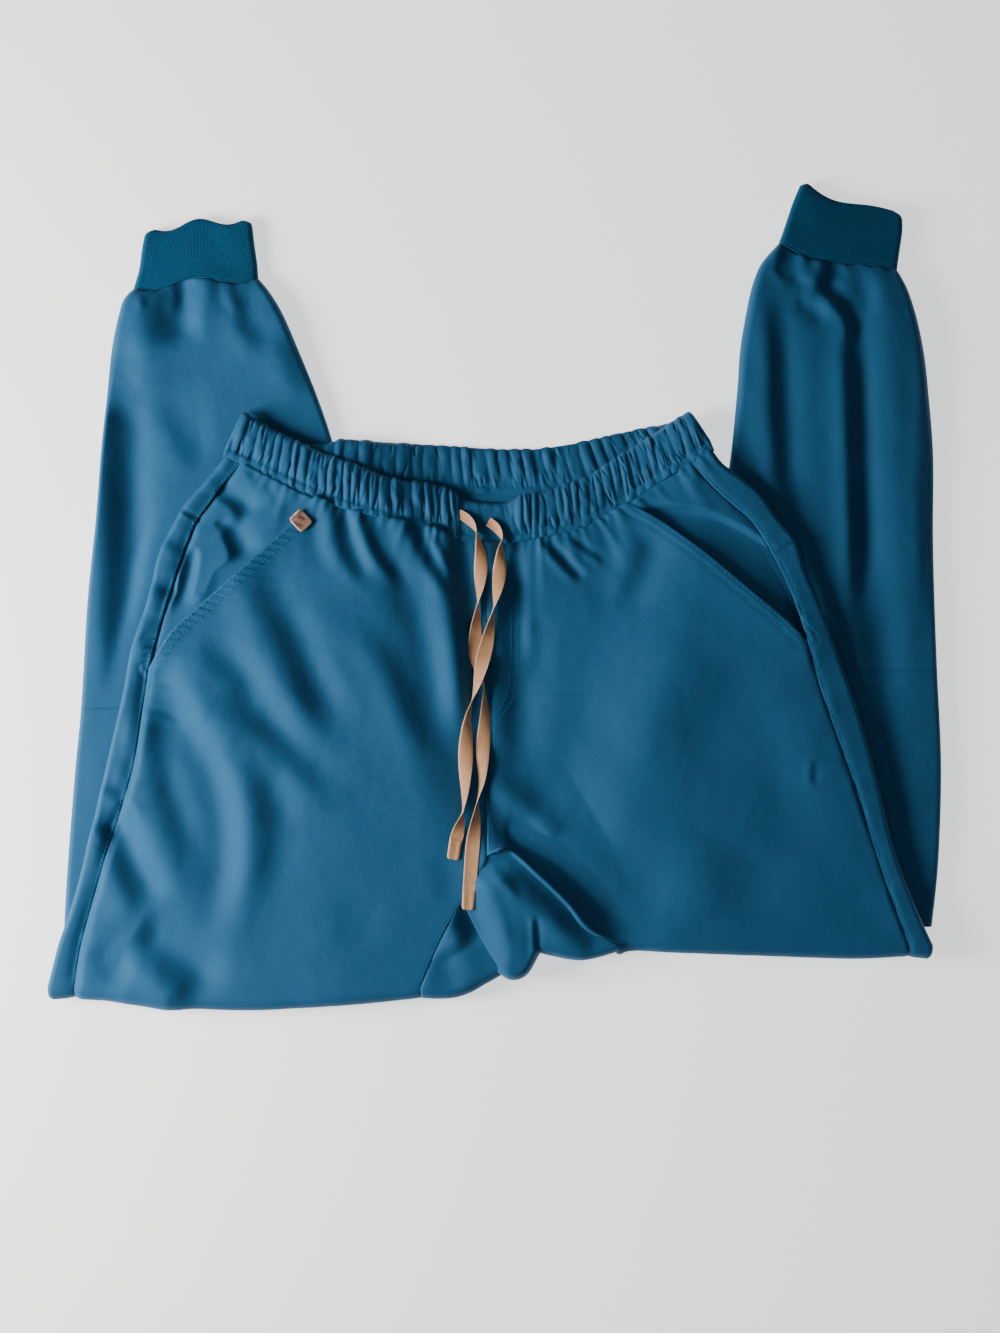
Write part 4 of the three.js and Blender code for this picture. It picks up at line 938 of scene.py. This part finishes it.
def make_tail(name, rows, turns, node_name, over=None):
    """A flat tape that turns about its own middle line as it runs down the front."""
    fine = fine_curve([row[0] for row in rows])
    s = marks(fine)
    at = np.linspace(0, s[-1], TAPE_STEPS + 1)
    run = resample(fine, TAPE_STEPS)
    width = np.interp(at, s[::FINE_STEPS], [row[1] for row in rows])
    roll = np.interp(-run[:, 1], [-y for y, _ in turns], [r for _, r in turns]) * math.pi
    side = left_normals(run)
    rest = np.max([under_tape(run + side * w) for w in (-3, -1.5, 0, 1.5, 3)], axis=0)
    past_bar = at - (at[-1] - FOLDED_END)
    folded = ease(-0.6, 0.6, past_bar)
    bar = bell(past_bar, 0.9)
    thick = TAPE_HALF_THICK * (1 + 1.3 * folded + 0.9 * bar)
    if over is not None:
        gap = np.linalg.norm(run[:, None] - over[None, :, :2], axis=2)
        nearest = gap.argmin(1)
        cover = 1 - ease(5.5, 10, gap.min(1))
        rest = np.maximum(rest, rest * (1 - cover) + (over[nearest, 2] + TAPE_GAP) * cover)
    kernel = bell(np.linspace(-2, 2, 17), 1)
    padded = np.pad(rest, 8, mode="edge")
    rest = np.maximum(np.convolve(padded, kernel / kernel.sum(), mode="valid"), rest - 0.3)
    tip = np.sqrt(np.clip(1 - np.clip((at - at[-1] + 2.2) / 2.4, 0, 1) ** 2, 0, 1))
    half = width / 2 * (0.55 + 0.45 * tip)
    middle = rest + 0.15 + thick + np.abs(np.sin(roll)) * half * 0.5
    angles = np.linspace(0, 2 * math.pi, TAPE_CORNERS, endpoint=False)
    cross = np.sign(np.cos(angles)) * np.abs(np.cos(angles)) ** 0.5
    edge = np.sign(np.sin(angles)) * np.abs(np.sin(angles)) ** 0.7
    dished = 0.5 * (cross**2 - 0.35)
    groove = -1.15 * bell(cross, 0.3) * (edge > 0)
    deep = edge[None] * thick[:, None] + dished[None] * (1 - folded[:, None])
    deep = deep + groove[None] * folded[:, None]
    across = cross[None] * half[:, None] * np.cos(roll)[:, None] - deep * np.sin(roll)[:, None]
    height = cross[None] * half[:, None] * np.sin(roll)[:, None] * 0.5 + deep * np.cos(roll)[:, None]
    plan = run[:, None] + side[:, None] * across[..., None]
    grid = np.concatenate([plan, (middle[:, None] + height)[..., None]], axis=2)
    u = np.broadcast_to(cross[None] * 0.5 + 0.5, height.shape)
    uv = np.stack([u, np.broadcast_to(at[:, None] / 1.5, height.shape)], axis=2)
    start, end = (
        np.repeat(row.mean(1, keepdims=True), TAPE_CORNERS, axis=1) for row in (grid[:1], grid[-1:])
    )
    grid, uv = np.concatenate([start, grid, end]), np.concatenate([uv[:1], uv, uv[-1:]])
    tail = mesh_from(name, grid[:, ::-1], TAPE, ring=True, thick=0, uv=uv[:, ::-1])
    line = np.concatenate([run, middle[:, None]], axis=1)
    path = (line + [*ORIGIN, 0]) / 1000
    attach(tail, "root")
    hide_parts(node_name)
    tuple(path[0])
    print(name, "is", round(float(marks(line)[-1])), "mm long")
    return line


line_r = make_tail("tail_r", TAPE_R, TURNS_R, "drawstring_r")
make_tail("tail_l", TAPE_L, TURNS_L, "drawstring_l", over=line_r)

# %% [markdown]
# ## Front panels
# Each front runs from the gathered waist seam and the slanted pocket mouth down to the thigh,
# where it folds under. Its columns lie closest at the waist, where the gathers are.

# %% Make the two fronts
FRONT_CUTS = {"r": ((0.29, 0.43), 0.098), "l": ((0.33, 0.40), 0.088)}
FRONT_COLS = 150
for half in (RIGHT, LEFT):
    side_edge = joined(along(half["pocket"], 78), along(half["seam_lower"], 112))
    middle_edge = joined(along(CENTRE_SEAM, 122), along(half["crotch"], 68))
    left, right = (side_edge, middle_edge) if half["side"] < 0 else (middle_edge, side_edge)
    top = between(WAIST_SEAM, left[0], right[0], FRONT_COLS)
    bottom = along(half["bend"], FRONT_COLS)
    grid = panel(left, right, top, bottom, cloth_top)
    # The middle edge gets a seam allowance, which goes deeper beside the gusset.
    edge, inner = (-1, -2) if half["side"] < 0 else (0, 1)
    allowance = grid[:, edge].copy()
    way = allowance[:, :2] - grid[:, inner, :2]
    way /= np.linalg.norm(way, axis=1)[:, None]
    deep = ease(118, 128, np.arange(len(grid)))
    allowance[:, :2] += way * (0.4 + 2.6 * deep)[:, None]
    allowance[:, 2] -= 1.0 + 1.0 * deep
    pieces = (grid, allowance[:, None]) if half["side"] < 0 else (allowance[:, None], grid)
    grid = tuck(np.concatenate(pieces, axis=1))
    grid = bend_under(grid, turn_out(grid[-1, :, :2]), flap=8)
    cloth(f"front_{half['name']}_cloth", grid, [f"front_{half['name']}"], *FRONT_CUTS[half["name"]])

# %% [markdown]
# ## Side strips and pocket facings
# The back panel comes round the side of the body, so a strip of it shows outside the side
# seam, with a yoke seam near the hip. Inside the slanted pocket mouth lies the facing: the
# right one is pulled smooth, and the left one sinks, because that pocket gapes.

# %% Make the side strips
EDGE_RADIUS = 4.0
for half in (RIGHT, LEFT):
    seam = side_seam(half, 150, 170)
    edge = along(half["outer"], 320)
    out = left_normals(edge)
    out *= (np.sign(out[:, 0]) * half["side"])[:, None]
    shoulder = edge - out * EDGE_RADIUS
    u = np.linspace(0, 1, 15)[None, :, None]
    strip = lift(seam[:, None] * (1 - u) + shoulder[:, None] * u, cloth_top)
    rim = roll_off(strip[:, -1], out, EDGE_RADIUS, math.pi * 0.82, 10)
    strip = np.concatenate([strip, *rim], axis=1)
    if half["side"] < 0:
        strip = strip[:, ::-1]
    low = np.tile(np.array([[0.0, -1.0]]), (strip.shape[1], 1))
    strip = tuck(bend_under(strip, low, turn=math.pi * 0.9))
    name = half["name"]
    cloth(f"side_{name}_cloth", strip, [f"yoke_{name}", f"back_side_{name}"], (0.04, 0.46), 0.0125)

# %% [markdown]
# The facings come next. Each is a curved quarter of cloth that starts under the waistband and
# ends under the pocket mouth, with its own few folds.

# %% Make the pocket facings
FACING = {
    "r": [
        ("blob", [(214, 500), (233, 508), (246, 524)], 22, 0.95, SEAM),
        ("blob 2", [(216, 530), (228, 548), (234, 566)], 26, 0.85, SEAM),
        ("arc lit", [(206, 538), (218, 528), (236, 530)], 11, -0.44),
        ("slope lit", [(208, 540), (198, 572), (188, 612)], 16, -0.70),
        ("seam dark", [(188, 548), (180, 580), (170, 618)], 12, 0.70),
    ],
    "l": [
        ("top dark", [(660, 486), (692, 500), (730, 504)], 10, 0.40),
        ("upper lit", [(676, 500), (706, 504), (738, 520)], 12, -0.22),
    ],
}
FACING_COLS = 40
UNDER_MOUTH = 4.2
POCKET_ARC = [(650, 509), (676, 510), (702, 514), (738, 530), (772, 554), (794, 590), (804, 640)]


def pocket_hollow(xy):
    """The gaping pocket: its floor sinks towards the arc where the facing turns up again."""
    arc, mouth = along(spots(POCKET_ARC), 40), SEAM_LINES["pocket_l"]
    beyond, s, total = line_coords(xy, arc)
    inside, s, total = line_coords(xy, mouth)
    share = np.abs(inside) / np.maximum(np.abs(inside) + np.abs(beyond), 1e-6)
    floor = 5.6 - 3.4 * ease(0.0, 0.9, share)
    return floor + (8.0 - floor) * ease(-0.5, 4.5, beyond)


for half in (RIGHT, LEFT):
    name, side = half["name"], half["side"]
    seam = along(half["seam_upper"], 80)
    mouth = along(half["pocket"], 80) - np.array([side, 1]) * UNDER_MOUTH
    left, right = (seam, mouth) if side < 0 else (mouth, seam)
    waist = along(WAIST_SEAM, 200)
    top, bottom = (straight(left[end], right[end], FACING_COLS) for end in (0, -1))
    top[:, 1] = np.minimum(top[:, 1], np.interp(top[:, 0], waist[:, 0], waist[:, 1]) - 0.4) + 2.0

    def facing_top(xy):
        hollow = 6.8 if name == "r" else pocket_hollow(xy)
        z = support(xy) + hollow + add_folds(xy, FACING[name]) + 0.5 * crumple(xy + 90) + waist_fan(xy)
        d, s, total = from_seam(xy, "side_" + name)
        z -= 0.9 * bell(d, 3)
        d, s, total = from_seam(xy, "waist")
        z += (cloth_top(xy) - z) * bell(d, 11)
        under = (1.5 if name == "r" else 0.6) * (1 - bell(d, 9)) + 0.1
        return np.clip(z, support(xy) + 1.6, cloth_top(xy) - under)

    grid = panel(left, right, top, bottom, facing_top, rounds=10)
    area = 0.0072 if side < 0 else 0.0064
    cloth(f"facing_{name}_cloth", grid, [f"pocket_facing_{name}"], (0.11, 0.18), area, held="laid")

# %% [markdown]
# ## Between the legs
# A gusset joins the four leg panels. Laid flat it has too much cloth, so it stands up in two
# lobes with a notch between them. Beside it a sliver of the back thigh shows.

# %% Make the gusset and the inner thigh
crotch_r, crotch_l = along(RIGHT["crotch"], 64), along(LEFT["crotch"], 64)
# The crotch seam's point where the inside leg seam starts, and how far the rim is tucked in.
SPLIT = 24
OVERLAP = 2.4
thigh = along(THIGH_SEAM, 40)
thigh[0] = crotch_r[SPLIT]


def insert_panel(left, right, bend, cols, depth, height):
    """A panel between the legs, which starts a little below its upper corner and turns under."""
    fold = along(bend, cols)
    left, right = left.copy(), right.copy()
    left[0] = left[0] * 0.7 + left[1] * 0.3
    right[0] = right[0] * 0.7 + right[1] * 0.3
    grid = panel(left, right, straight(left[0], right[0], cols), fold, height)
    return bend_under(grid, turn_out(fold, depth), turn=math.pi * 0.92)


def thigh_top(xy):
    """The inner thigh: the fronts' height, with its own two folds."""
    return cloth_top(xy) + add_folds(xy, THIGH_FOLDS)


tucked = OVERLAP * ease(0, 8, np.arange(len(crotch_l)))
overlap = crotch_l + left_normals(crotch_l) * tucked[:, None]
grid = insert_panel(np.vstack([crotch_r[:SPLIT], thigh]), overlap, GUSSET_BEND, 78, 0.6, lump_top)
cloth("gusset_cloth", grid, ["gusset"], (0.12, 0.13), 0.0085)
under_gusset = thigh + np.array([3.0, 0.0]) * np.linspace(0, 1, len(thigh))[:, None]
thigh_bend = INNER_THIGH_BEND[:-1] + [(5, -277.5)]
grid = insert_panel(crotch_r[SPLIT:], under_gusset, thigh_bend, 34, 1.0, thigh_top)
cloth("inner_thigh_cloth", grid, ["inner_thigh_r"], (0.06, 0.10), 0.0034)

# %% [markdown]
# ## Back panels
# The back lies under the front. Only a strip of its inside shows in the waist opening, and
# its outside is seen from below, between the legs.

# %% Make the back
rows, cols = 80, 120
left = along([(x + 7, y) for x, y in RIGHT["outer"]], rows)
right = along([(x - 7, y) for x, y in LEFT["outer"]], rows)
top = along(BACK_SEAM, cols) + np.array([0, 4.0])
low = RIGHT["bend"][:-1] + INNER_THIGH_BEND[:-1] + [(2, -272), (30, -258), (60, -262)] + LEFT["bend"]
bottom = along([(x, y + 2) for x, y in low], cols)


def back_top(xy):
    """The back lies on the legs, and on the table between them."""
    return support(xy) + 2.0 + 0.25 * crumple(xy - 200)


grid = panel(left, right, top, bottom, back_top, rounds=0)
cloth("back_cloth", grid, ["back_layers"], (0.64, 0.40), 0.215, held="laid", thick=1.8)

# %% [markdown]
# ## Stitching
# Topstitching holds the seam allowances down: a row beside each seam and two along each
# pocket mouth, and the mock fly's curve on the left front. Each stitch is its own small
# capsule of thread, 2.5 mm long, half sunk in the cloth.

# %% Stitch builder
STITCH_RINGS = [
    (0, 0.15, -0.25), (0.16, 0.85, 0.02), (0.5, 1.0, 0.14), (0.84, 0.85, 0.02), (1, 0.15, -0.25),
]
STITCH_FAT = 0.32
SIDES = 6
sewn = []


def stitches(name, line, every=3.4, long=2.5):
    """One mesh of capsules along a line in space: rings hold place, girth and lift."""
    s = marks(line[:, :2])
    starts = np.arange(every * 0.4, s[-1] - long, every)

    def point(q):
        return np.stack([np.interp(q, s, line[:, k]) for k in range(3)], axis=1)

    tangent = (point(starts + long) - point(starts))[:, :2]
    tangent /= np.linalg.norm(tangent, axis=1)[:, None]
    normal = np.stack([-tangent[:, 1], tangent[:, 0]], axis=1)
    block = []
    for place, girth, up in STITCH_RINGS:
        centre = point(starts + place * long)
        for corner in range(SIDES):
            a = corner * 2 * math.pi / SIDES
            p = centre.copy()
            p[:, :2] += normal * (math.cos(a) * girth * STITCH_FAT)
            p[:, 2] += up + math.sin(a) * girth * STITCH_FAT * 0.8
            block.append(p)
    faces = []
    for k in range(len(starts)):
        for ring in range(len(STITCH_RINGS) - 1):
            for corner in range(SIDES):
                first = (k * len(STITCH_RINGS) + ring) * SIDES
                p, q = first + corner, first + (corner + 1) % SIDES
                faces.append((p, q, q + SIDES, p + SIDES))
    obj = new_object(name, np.stack(block, axis=1), faces, THREAD)
    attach(obj, "root")
    sewn.append(len(starts))


def on_front(line, offset=0.0):
    plan = line + left_normals(line) * offset
    return np.concatenate([plan, cloth_top(plan)[:, None] + 0.05], axis=1)


print("a stitch is drawn with", len(STITCH_RINGS), "rings of", SIDES)

# %% [markdown]
# The rows on the fronts are sewn in turn: both pocket mouths, both side seams, the mock fly,
# the centre seam and the inside leg.

# %% Stitch the upper seams
pocket_r, pocket_l = along(RIGHT["pocket"], 120), along(LEFT["pocket"], 120)
for name, line, offset in (
    ("pocket_r_a", pocket_r, 1.8), ("pocket_r_b", pocket_r, 7.5),
    ("pocket_l_a", pocket_l, -1.8), ("pocket_l_b", pocket_l, -7.5),
):
    stitches("stitch_" + name, on_front(line, offset)[2:-6])
for half in (RIGHT, LEFT):
    seam = side_seam(half, 90, 90)
    stitches("stitch_side_" + half["name"], on_front(seam, 1.6 * half["side"])[3:-3])
FLY = [(15, 30), (17, -8), (17, -48), (14, -78), (5, -94), (-3, -99)]
for offset in (0, -5):
    stitches(f"stitch_fly_{-offset}", on_front(along(FLY, 120), offset))
stitches("stitch_centre", on_front(along(CENTRE_SEAM, 120), 1.6)[4:])
stitches("stitch_inseam", on_front(along(RIGHT["crotch"], 80), -1.6)[36:-2])
print("stitches on the fronts:", sum(sewn))

# %% [markdown]
# ## Waistband
# A tunnel of cloth over wide elastic. The elastic is sewn in at its lower edge and pulls the
# cloth into about fifty narrow folds, which lean away from the middle on both sides. A short
# stretch at the centre front, where the drawstring comes out, is left plain.

# %% Make the front and the back of the waistband
def gather_phase(u, edges):
    """How far across its gather each point lies, from 0 to 1, and which gather it is."""
    k = np.clip(np.searchsorted(edges, u, side="right") - 1, 0, len(edges) - 2)
    return (u - edges[k]) / (edges[k + 1] - edges[k]), k


BAND_ROWS = 40
COLS_PER_GATHER = 13
BAND_MM = 24
# The row of stitches under the elastic, as a share of the way down.
CASING = 0.8
# Cut, strength of the folds, number of short folds, ruffle of the upper edge, height.
FRONT_BAND = ((0.56, 0.036), 1.35, 270, 1.2, BAND_RISE + 1.2)
BACK_BAND = ((0.46, 0.036), 1.05, 130, 0.8, 3.4)


def band(name, node_name, top, bottom, edges, seed, front):
    """A casing over elastic: long folds, and short ones that start at the two stitched edges."""
    cut, strength, short_folds, ruffling, rise = FRONT_BAND if front else BACK_BAND
    count = len(edges) - 1
    cols, rows = count * COLS_PER_GATHER, BAND_ROWS
    upper, lower = along(top, cols), along(bottom, cols)
    v = np.linspace(0, 1, rows + 1)[:, None]
    plan = upper[None] * (1 - v[..., None]) + lower[None] * v[..., None]
    u = np.linspace(0, 1, cols + 1)[None] + np.zeros_like(v)
    v = v + np.zeros_like(u)
    length = marks(lower)[-1]
    lean = np.tanh((u - 0.5) * 9) * -6.5 / length if front else 1.5 / length
    pick = np.random.default_rng(seed)
    wobble = pick.uniform(-2.6, 2.6, count)
    shifted = np.clip(u - lean * (v - 0.5), 0, 0.99999)
    phase, k = gather_phase(shifted, edges)
    shifted = np.clip(shifted + wobble[k] / length * np.sin(math.pi * phase) * (v - 0.5), 0, 0.99999)
    phase, k = gather_phase(shifted, edges)
    kind = pick.choice(3, count, p=[0.42, 0.33, 0.25])[k]
    reach = pick.uniform(0.25, 0.65, count)[k]
    from_top = 1 - ease(reach, reach + 0.35, v)
    from_hem = ease(reach - 0.25, reach + 0.2, v)
    strong = np.select([kind == 0, kind == 1], [np.ones_like(v), from_top], from_hem)
    deep = pick.uniform(0.55, 1.4, count)[k] * (0.25 + 0.75 * strong)
    bent = phase ** pick.uniform(0.7, 1.4, count)[k]
    fold = np.sin(math.pi * bent) ** 0.7 * deep
    x = plan[..., 0]
    plain = ease(-29, -25, x) * (1 - ease(7, 20, x)) if front else 0 * u
    tunnel = np.where(v < CASING, np.sin(math.pi * np.clip(v / CASING, 0, 1)) ** 0.7, 0)
    hem = np.where(v >= CASING, np.sin(math.pi * np.clip((v - CASING) / (1 - CASING), 0, 1)), 0)
    z = rise + 1.3 * tunnel + 0.45 * hem - 1.0
    full = 0.6 + 0.75 * tunnel + 0.1 * hem
    z = z + (fold - 0.45) * full * (1 - 0.85 * plain) * strength
    along_band, down = u * length, v * BAND_MM
    for _ in range(short_folds):
        at, way = pick.uniform(0, length), pick.uniform(-0.45, 0.45)
        start, run = (0, 1) if pick.random() < 0.55 else (CASING * BAND_MM, -1)
        reach_mm, half, lift_mm = pick.uniform(4, 12), pick.uniform(0.6, 1.4), pick.uniform(-1.3, 0.8)
        q = (down - start) * run
        off = (along_band - at - way * q) / (half * np.clip(1 - q / reach_mm / 1.4, 0.25, 1))
        ends = ease(-2, 0.5, q) * (1 - ease(reach_mm * 0.5, reach_mm, q))
        z = z + lift_mm * bell(off, 1) * ends * (1 - 0.7 * plain)
    z = z - plain * 2.4
    roll = np.clip(1 - v / 0.10, 0, 1) ** 2
    z = z - roll * 2.4
    ruffle = (fold - 0.35) * (1 - plain) * (1 - ease(0, 0.22, v)) * ruffling
    plan = plan + left_normals(upper)[None] * ruffle[..., None]
    plan[..., 1] -= plain * 3.0 * (1 - v)
    flat = plan.reshape(-1, 2)
    uneven = 0.3 * soft_noise(flat, 5, seed) + 0.4 * soft_noise(flat, 30, seed + 5)
    z = support(flat) + z.ravel() + uneven
    z = np.maximum(z, 1.9 + 0.1 * z)
    grid = np.concatenate([flat, z[:, None]], axis=1).reshape(rows + 1, cols + 1, 3)
    for row, label in ((round(rows * CASING), "casing"), (rows - 1, "seam")):
        line = grid[row, 4:-4] + [0, 0, 0.1]
        stitches(f"stitch_{label}_{name[5:10]}", line, every=2.9, long=2.1)
    if front:
        radius = 3.4 - 2.0 * ease(0.7, 1.0, np.linspace(0, 1, rows + 1))
        start, end = (
            list(roll_off(grid[:, column], np.array([way, 0.0]), radius, math.pi * 0.8, 8))
            for column, way in ((0, -1), (cols, 1))
        )
        grid = np.concatenate([*start[::-1], grid, *end], axis=1)
    cloth(name, grid, [node_name], cut, None, held="gathered", thick=1.4)


back_edges = spaced(36, np.random.default_rng(21))
band("band_back_cloth", "waistband_back", BACK_BAND_TOP, BACK_SEAM, back_edges, 31, False)
band("band_front_cloth", "waistband_front", BAND_TOP, WAIST_SEAM, GATHER_EDGES, 41, True)

# %% [markdown]
# ## Lower legs and cuffs
# Each lower leg is a tube pressed flat, with its back up. A seam crosses it at the knee, and
# the tube puffs up where it is gathered into the cuff. The cuffs are a fine rib knit, whose
# columns run round the whole tube, counted off by the weave coordinates.

# %% Tube builder
def section_at(table, index, column):
    """One column of the sections, at places between them."""
    values = np.array([row[column] for row in table], float).reshape(len(table), -1)
    ext = np.vstack([values[:1], values, values[-1:]])
    k = np.clip(np.floor(index).astype(int), 0, len(table) - 2)
    t = (index - k)[:, None]
    return curve_step(ext[k], ext[k + 1], ext[k + 2], ext[k + 3], t)


# Rows beside the knee seam, in millimetres, so that its groove is sharp.
KNEE_ROWS = [-1.8, -1.1, -0.6, -0.2, 0.2, 0.6, 1.1, 1.8]


def flat_tube(table, rows, cols, relief, bow, is_leg):
    """A pressed tube with round edges. A leg is bowed more and more towards its cuff."""
    mids = np.array([(np.array(a) + np.array(b)) / 2 for a, b, _ in table])
    s = marks(mids)
    stops = np.linspace(0, s[-1], rows + 1)
    if is_leg:
        fine = s[KNEE_SECTION] + np.array(KNEE_ROWS)
        stops = np.sort(np.concatenate([stops[np.abs(stops - fine.mean()) > 2.0], fine]))
    rows = len(stops) - 1
    index = np.interp(stops, s, np.arange(len(table)))
    outer, inner = section_at(table, index, 0), section_at(table, index, 1)
    tall = section_at(table, index, 2)[:, 0]
    across = inner - outer
    wide = np.linalg.norm(across, axis=1)
    across = across / wide[:, None]
    way = np.sign(across[:, :1])
    forward = np.stack([-across[:, 1], across[:, 0]], axis=1) * way
    radius = tall / 2 - 0.3
    rim = 1 - np.cos(np.linspace(0, math.pi / 2, 9))
    inside = np.linspace(0, 1, cols + 1)[1:-1]
    under = np.linspace(0, 1, 13)[1:-1]

    def ring_marks(inner_marks):
        low = rim[None] * radius[:, None]
        span = radius[:, None] + (wide - 2 * radius)[:, None] * inner_marks[None]
        return np.concatenate([low, span, wide[:, None] - low[:, ::-1]], axis=1)

    def place(d, up):
        edge = np.minimum(d, wide[:, None] - d)
        curve = np.sqrt(np.clip(1 - (1 - np.clip(edge / radius[:, None], 0, 1)) ** 2, 0, 1))
        plan = outer[:, None] + across[:, None] * d[..., None]
        share = (np.linspace(0, 1, rows + 1) ** 3 if is_leg else np.ones(rows + 1))[:, None]
        shift = bow(d / wide[:, None]) * share
        flat = plan.reshape(-1, 2)
        bulge = relief(flat, np.repeat(index, d.shape[1]), d.ravel(), up).reshape(d.shape)
        bulge = bulge * ease(0, 1, curve) if up > 0 else bulge
        z = tall[:, None] / 2 + up * radius[:, None] * curve + bulge
        plan = plan + forward[:, None] * shift[..., None]
        return np.concatenate([plan, z[..., None]], axis=2)

    over = place(ring_marks(inside), 1)
    below = place(ring_marks(under), -1)[:, 1:-1][:, ::-1]
    ring = np.concatenate([over, below], axis=1)
    return ring if way[0, 0] < 0 else ring[:, ::-1]


print("tube tools ready; the knee seam gets", len(KNEE_ROWS), "rows of its own")

# %% [markdown]
# Each leg gets its folds, a groove at the knee seam and pleats near the cuff. The cuff's two
# ends are bowed like the end of its leg, so that the two always meet.

# %% Make the lower legs and cuffs
RIB_PITCH = 1.1
LEGS = [
    # sections, side, two waves of the bow as (height, half turns), cut and area
    ("r", LEG_R, CUFF_R, -1, ((1.2, 1), (-3.0, 3)), (0.50, 0.53), 0.215),
    ("l", LEG_L, CUFF_L, 1, ((-5, 1), (2.2, 2)), (0.46, 0.52), 0.185),
]
for name, sections, cuff, side, bows, cut, area in LEGS:

    def bow(t):
        return sum(high * np.sin(turns * math.pi * t) for high, turns in bows)

    def leg_surface(xy, index, d, up):
        knee = bell(index - KNEE_SECTION, 0.016) * 1.5
        if up < 0:
            return 0.25 * knee
        end = len(sections) - 1
        close = np.clip((index - (end - 1.3)) / 1.3, 0, 1)
        pleat = 0.55 * np.sin(d / 2.1 + 1.5 * np.sin(d / 13)) * close**2
        return leg_relief(xy, side) * (1 - 0.7 * close**3) - 0.55 * knee + pleat - 0.8 * close**6

    grid = flat_tube(sections, 190, 88, leg_surface, bow, True)
    cloth(f"lower_leg_{name}_cloth", grid, [f"knee_{name}", f"calf_{name}"], cut, area, ring=True)

    def rib_surface(xy, index, d, up):
        stitch_line = 0.5 * bell(index - 0.14, 0.05)
        puff = 0.8 * soft_noise(xy, 24, 5 if side < 0 else 6) * (up > 0)
        return puff - up * stitch_line

    grid = flat_tube(cuff, 44, 110, rib_surface, bow, False)
    around = marks(grid[20, :, :2])[None] / RIB_PITCH + np.zeros((grid.shape[0], 1))
    ribs = np.stack([around, np.zeros_like(around)], axis=2)
    cloth(
        f"cuff_{name}_cloth", grid, [f"cuff_{name}"], (0.20, 0.05), 0.0098, held="stretched",
        ring=True, material=RIB, slot="rib", thick=1.6, uv=ribs,
    )

# %% [markdown]
# ## The tab
# A small blank tab is sewn in at the wearer's right, where the pocket meets the waistband. It
# is a plain folded piece of satin with stitched sides.

# %% Make the tab
TAB_AT, TAB_TURN = np.array([-143.0, 51.0]), 0.75
TAB_HALF_WIDTH, TAB_HALF_HEIGHT, TAB_RIM = 6.2, 7.0, 0.86
u, v = np.meshgrid(np.linspace(-1, 1, 25), np.linspace(1, -1, 25))
round_off = 1 - 0.16 * (np.abs(u) ** 6) * (np.abs(v) ** 6)
a, b = u * TAB_HALF_WIDTH * round_off, v * TAB_HALF_HEIGHT * round_off
c, s = math.cos(TAB_TURN), math.sin(TAB_TURN)
plan = TAB_AT + np.stack([a * c - b * s, a * s + b * c], axis=2)
ground = cloth_top(plan.reshape(-1, 2)).reshape(u.shape)
ground = np.maximum(ground, ground.mean())
edge = np.maximum(np.abs(u), np.abs(v))
z = ground + 1.5 - 0.7 * ease(TAB_RIM, 1, edge) + 0.22 * bell(edge - 0.82, 0.05)
grid = np.concatenate([plan, z[..., None]], axis=2)
tab = mesh_from("tab_cloth", grid, TAB, thick=0.9)
tab.data.materials.append(TAB_EDGE)
rim = (edge[:-1, :-1] > TAB_RIM).ravel() | (edge[1:, 1:] > 0.88).ravel()
tab.data.polygons.foreach_set("material_index", rim.astype(np.int32))
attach(tab, "root")
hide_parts("tag")
print("tab sewn on")

# %% [markdown]
# ## Light and table
# The photograph is lit by a soft window on the left, low enough to draw the folds, with the
# rest of the room as weak fill. The background is a plain pale surface.

# %% Lights and floor
def area_light(name, place, aim, size, power, colour):
    data = bpy.data.lights.new(name, "AREA")
    data.shape = "DISK"
    data.size, data.energy, data.color = size, power, colour
    lamp = bpy.data.objects.new(name, data)
    lamp.location = place
    lamp.rotation_euler = (Vector(aim) - Vector(place)).to_track_quat("-Z", "Y").to_euler()
    bpy.context.collection.objects.link(lamp)


area_light("window", (-1.12, -0.16, 0.50), (-0.02, -0.03, 0), 0.60, 33, (1.0, 0.98, 0.95))
area_light("room", (0.2, -0.3, 2.2), (0, 0, 0), 2.4, 3.2, (0.93, 0.97, 1.0))
world = bpy.data.worlds.new("room")
world.use_nodes = True
tree = world.node_tree
dress(tree, tree.nodes["Background"], Color=(0.9, 0.95, 1.0, 1), Strength=0.11)
bpy.context.scene.world = world
TABLE_HALF, TABLE_DROP = 3.0, -0.0004
floor_mesh = bpy.data.meshes.new("table")
corners = [(x * TABLE_HALF, y * TABLE_HALF, TABLE_DROP) for x, y in ((-1, -1), (1, -1), (1, 1), (-1, 1))]
floor_mesh.from_pydata(corners, [], [(0, 1, 2, 3)])
table_top = bpy.data.objects.new("table", floor_mesh)
bpy.context.collection.objects.link(table_top)
m, tree, shader = new_material("table_top")
dress(
    tree, shader, Base_Color=(0.92, 0.92, 0.92, 1), Roughness=0.9,
    Emission_Color=(1, 1, 1, 1), Emission_Strength=1.1,
)
floor_mesh.materials.append(m)
print("lit from the left")
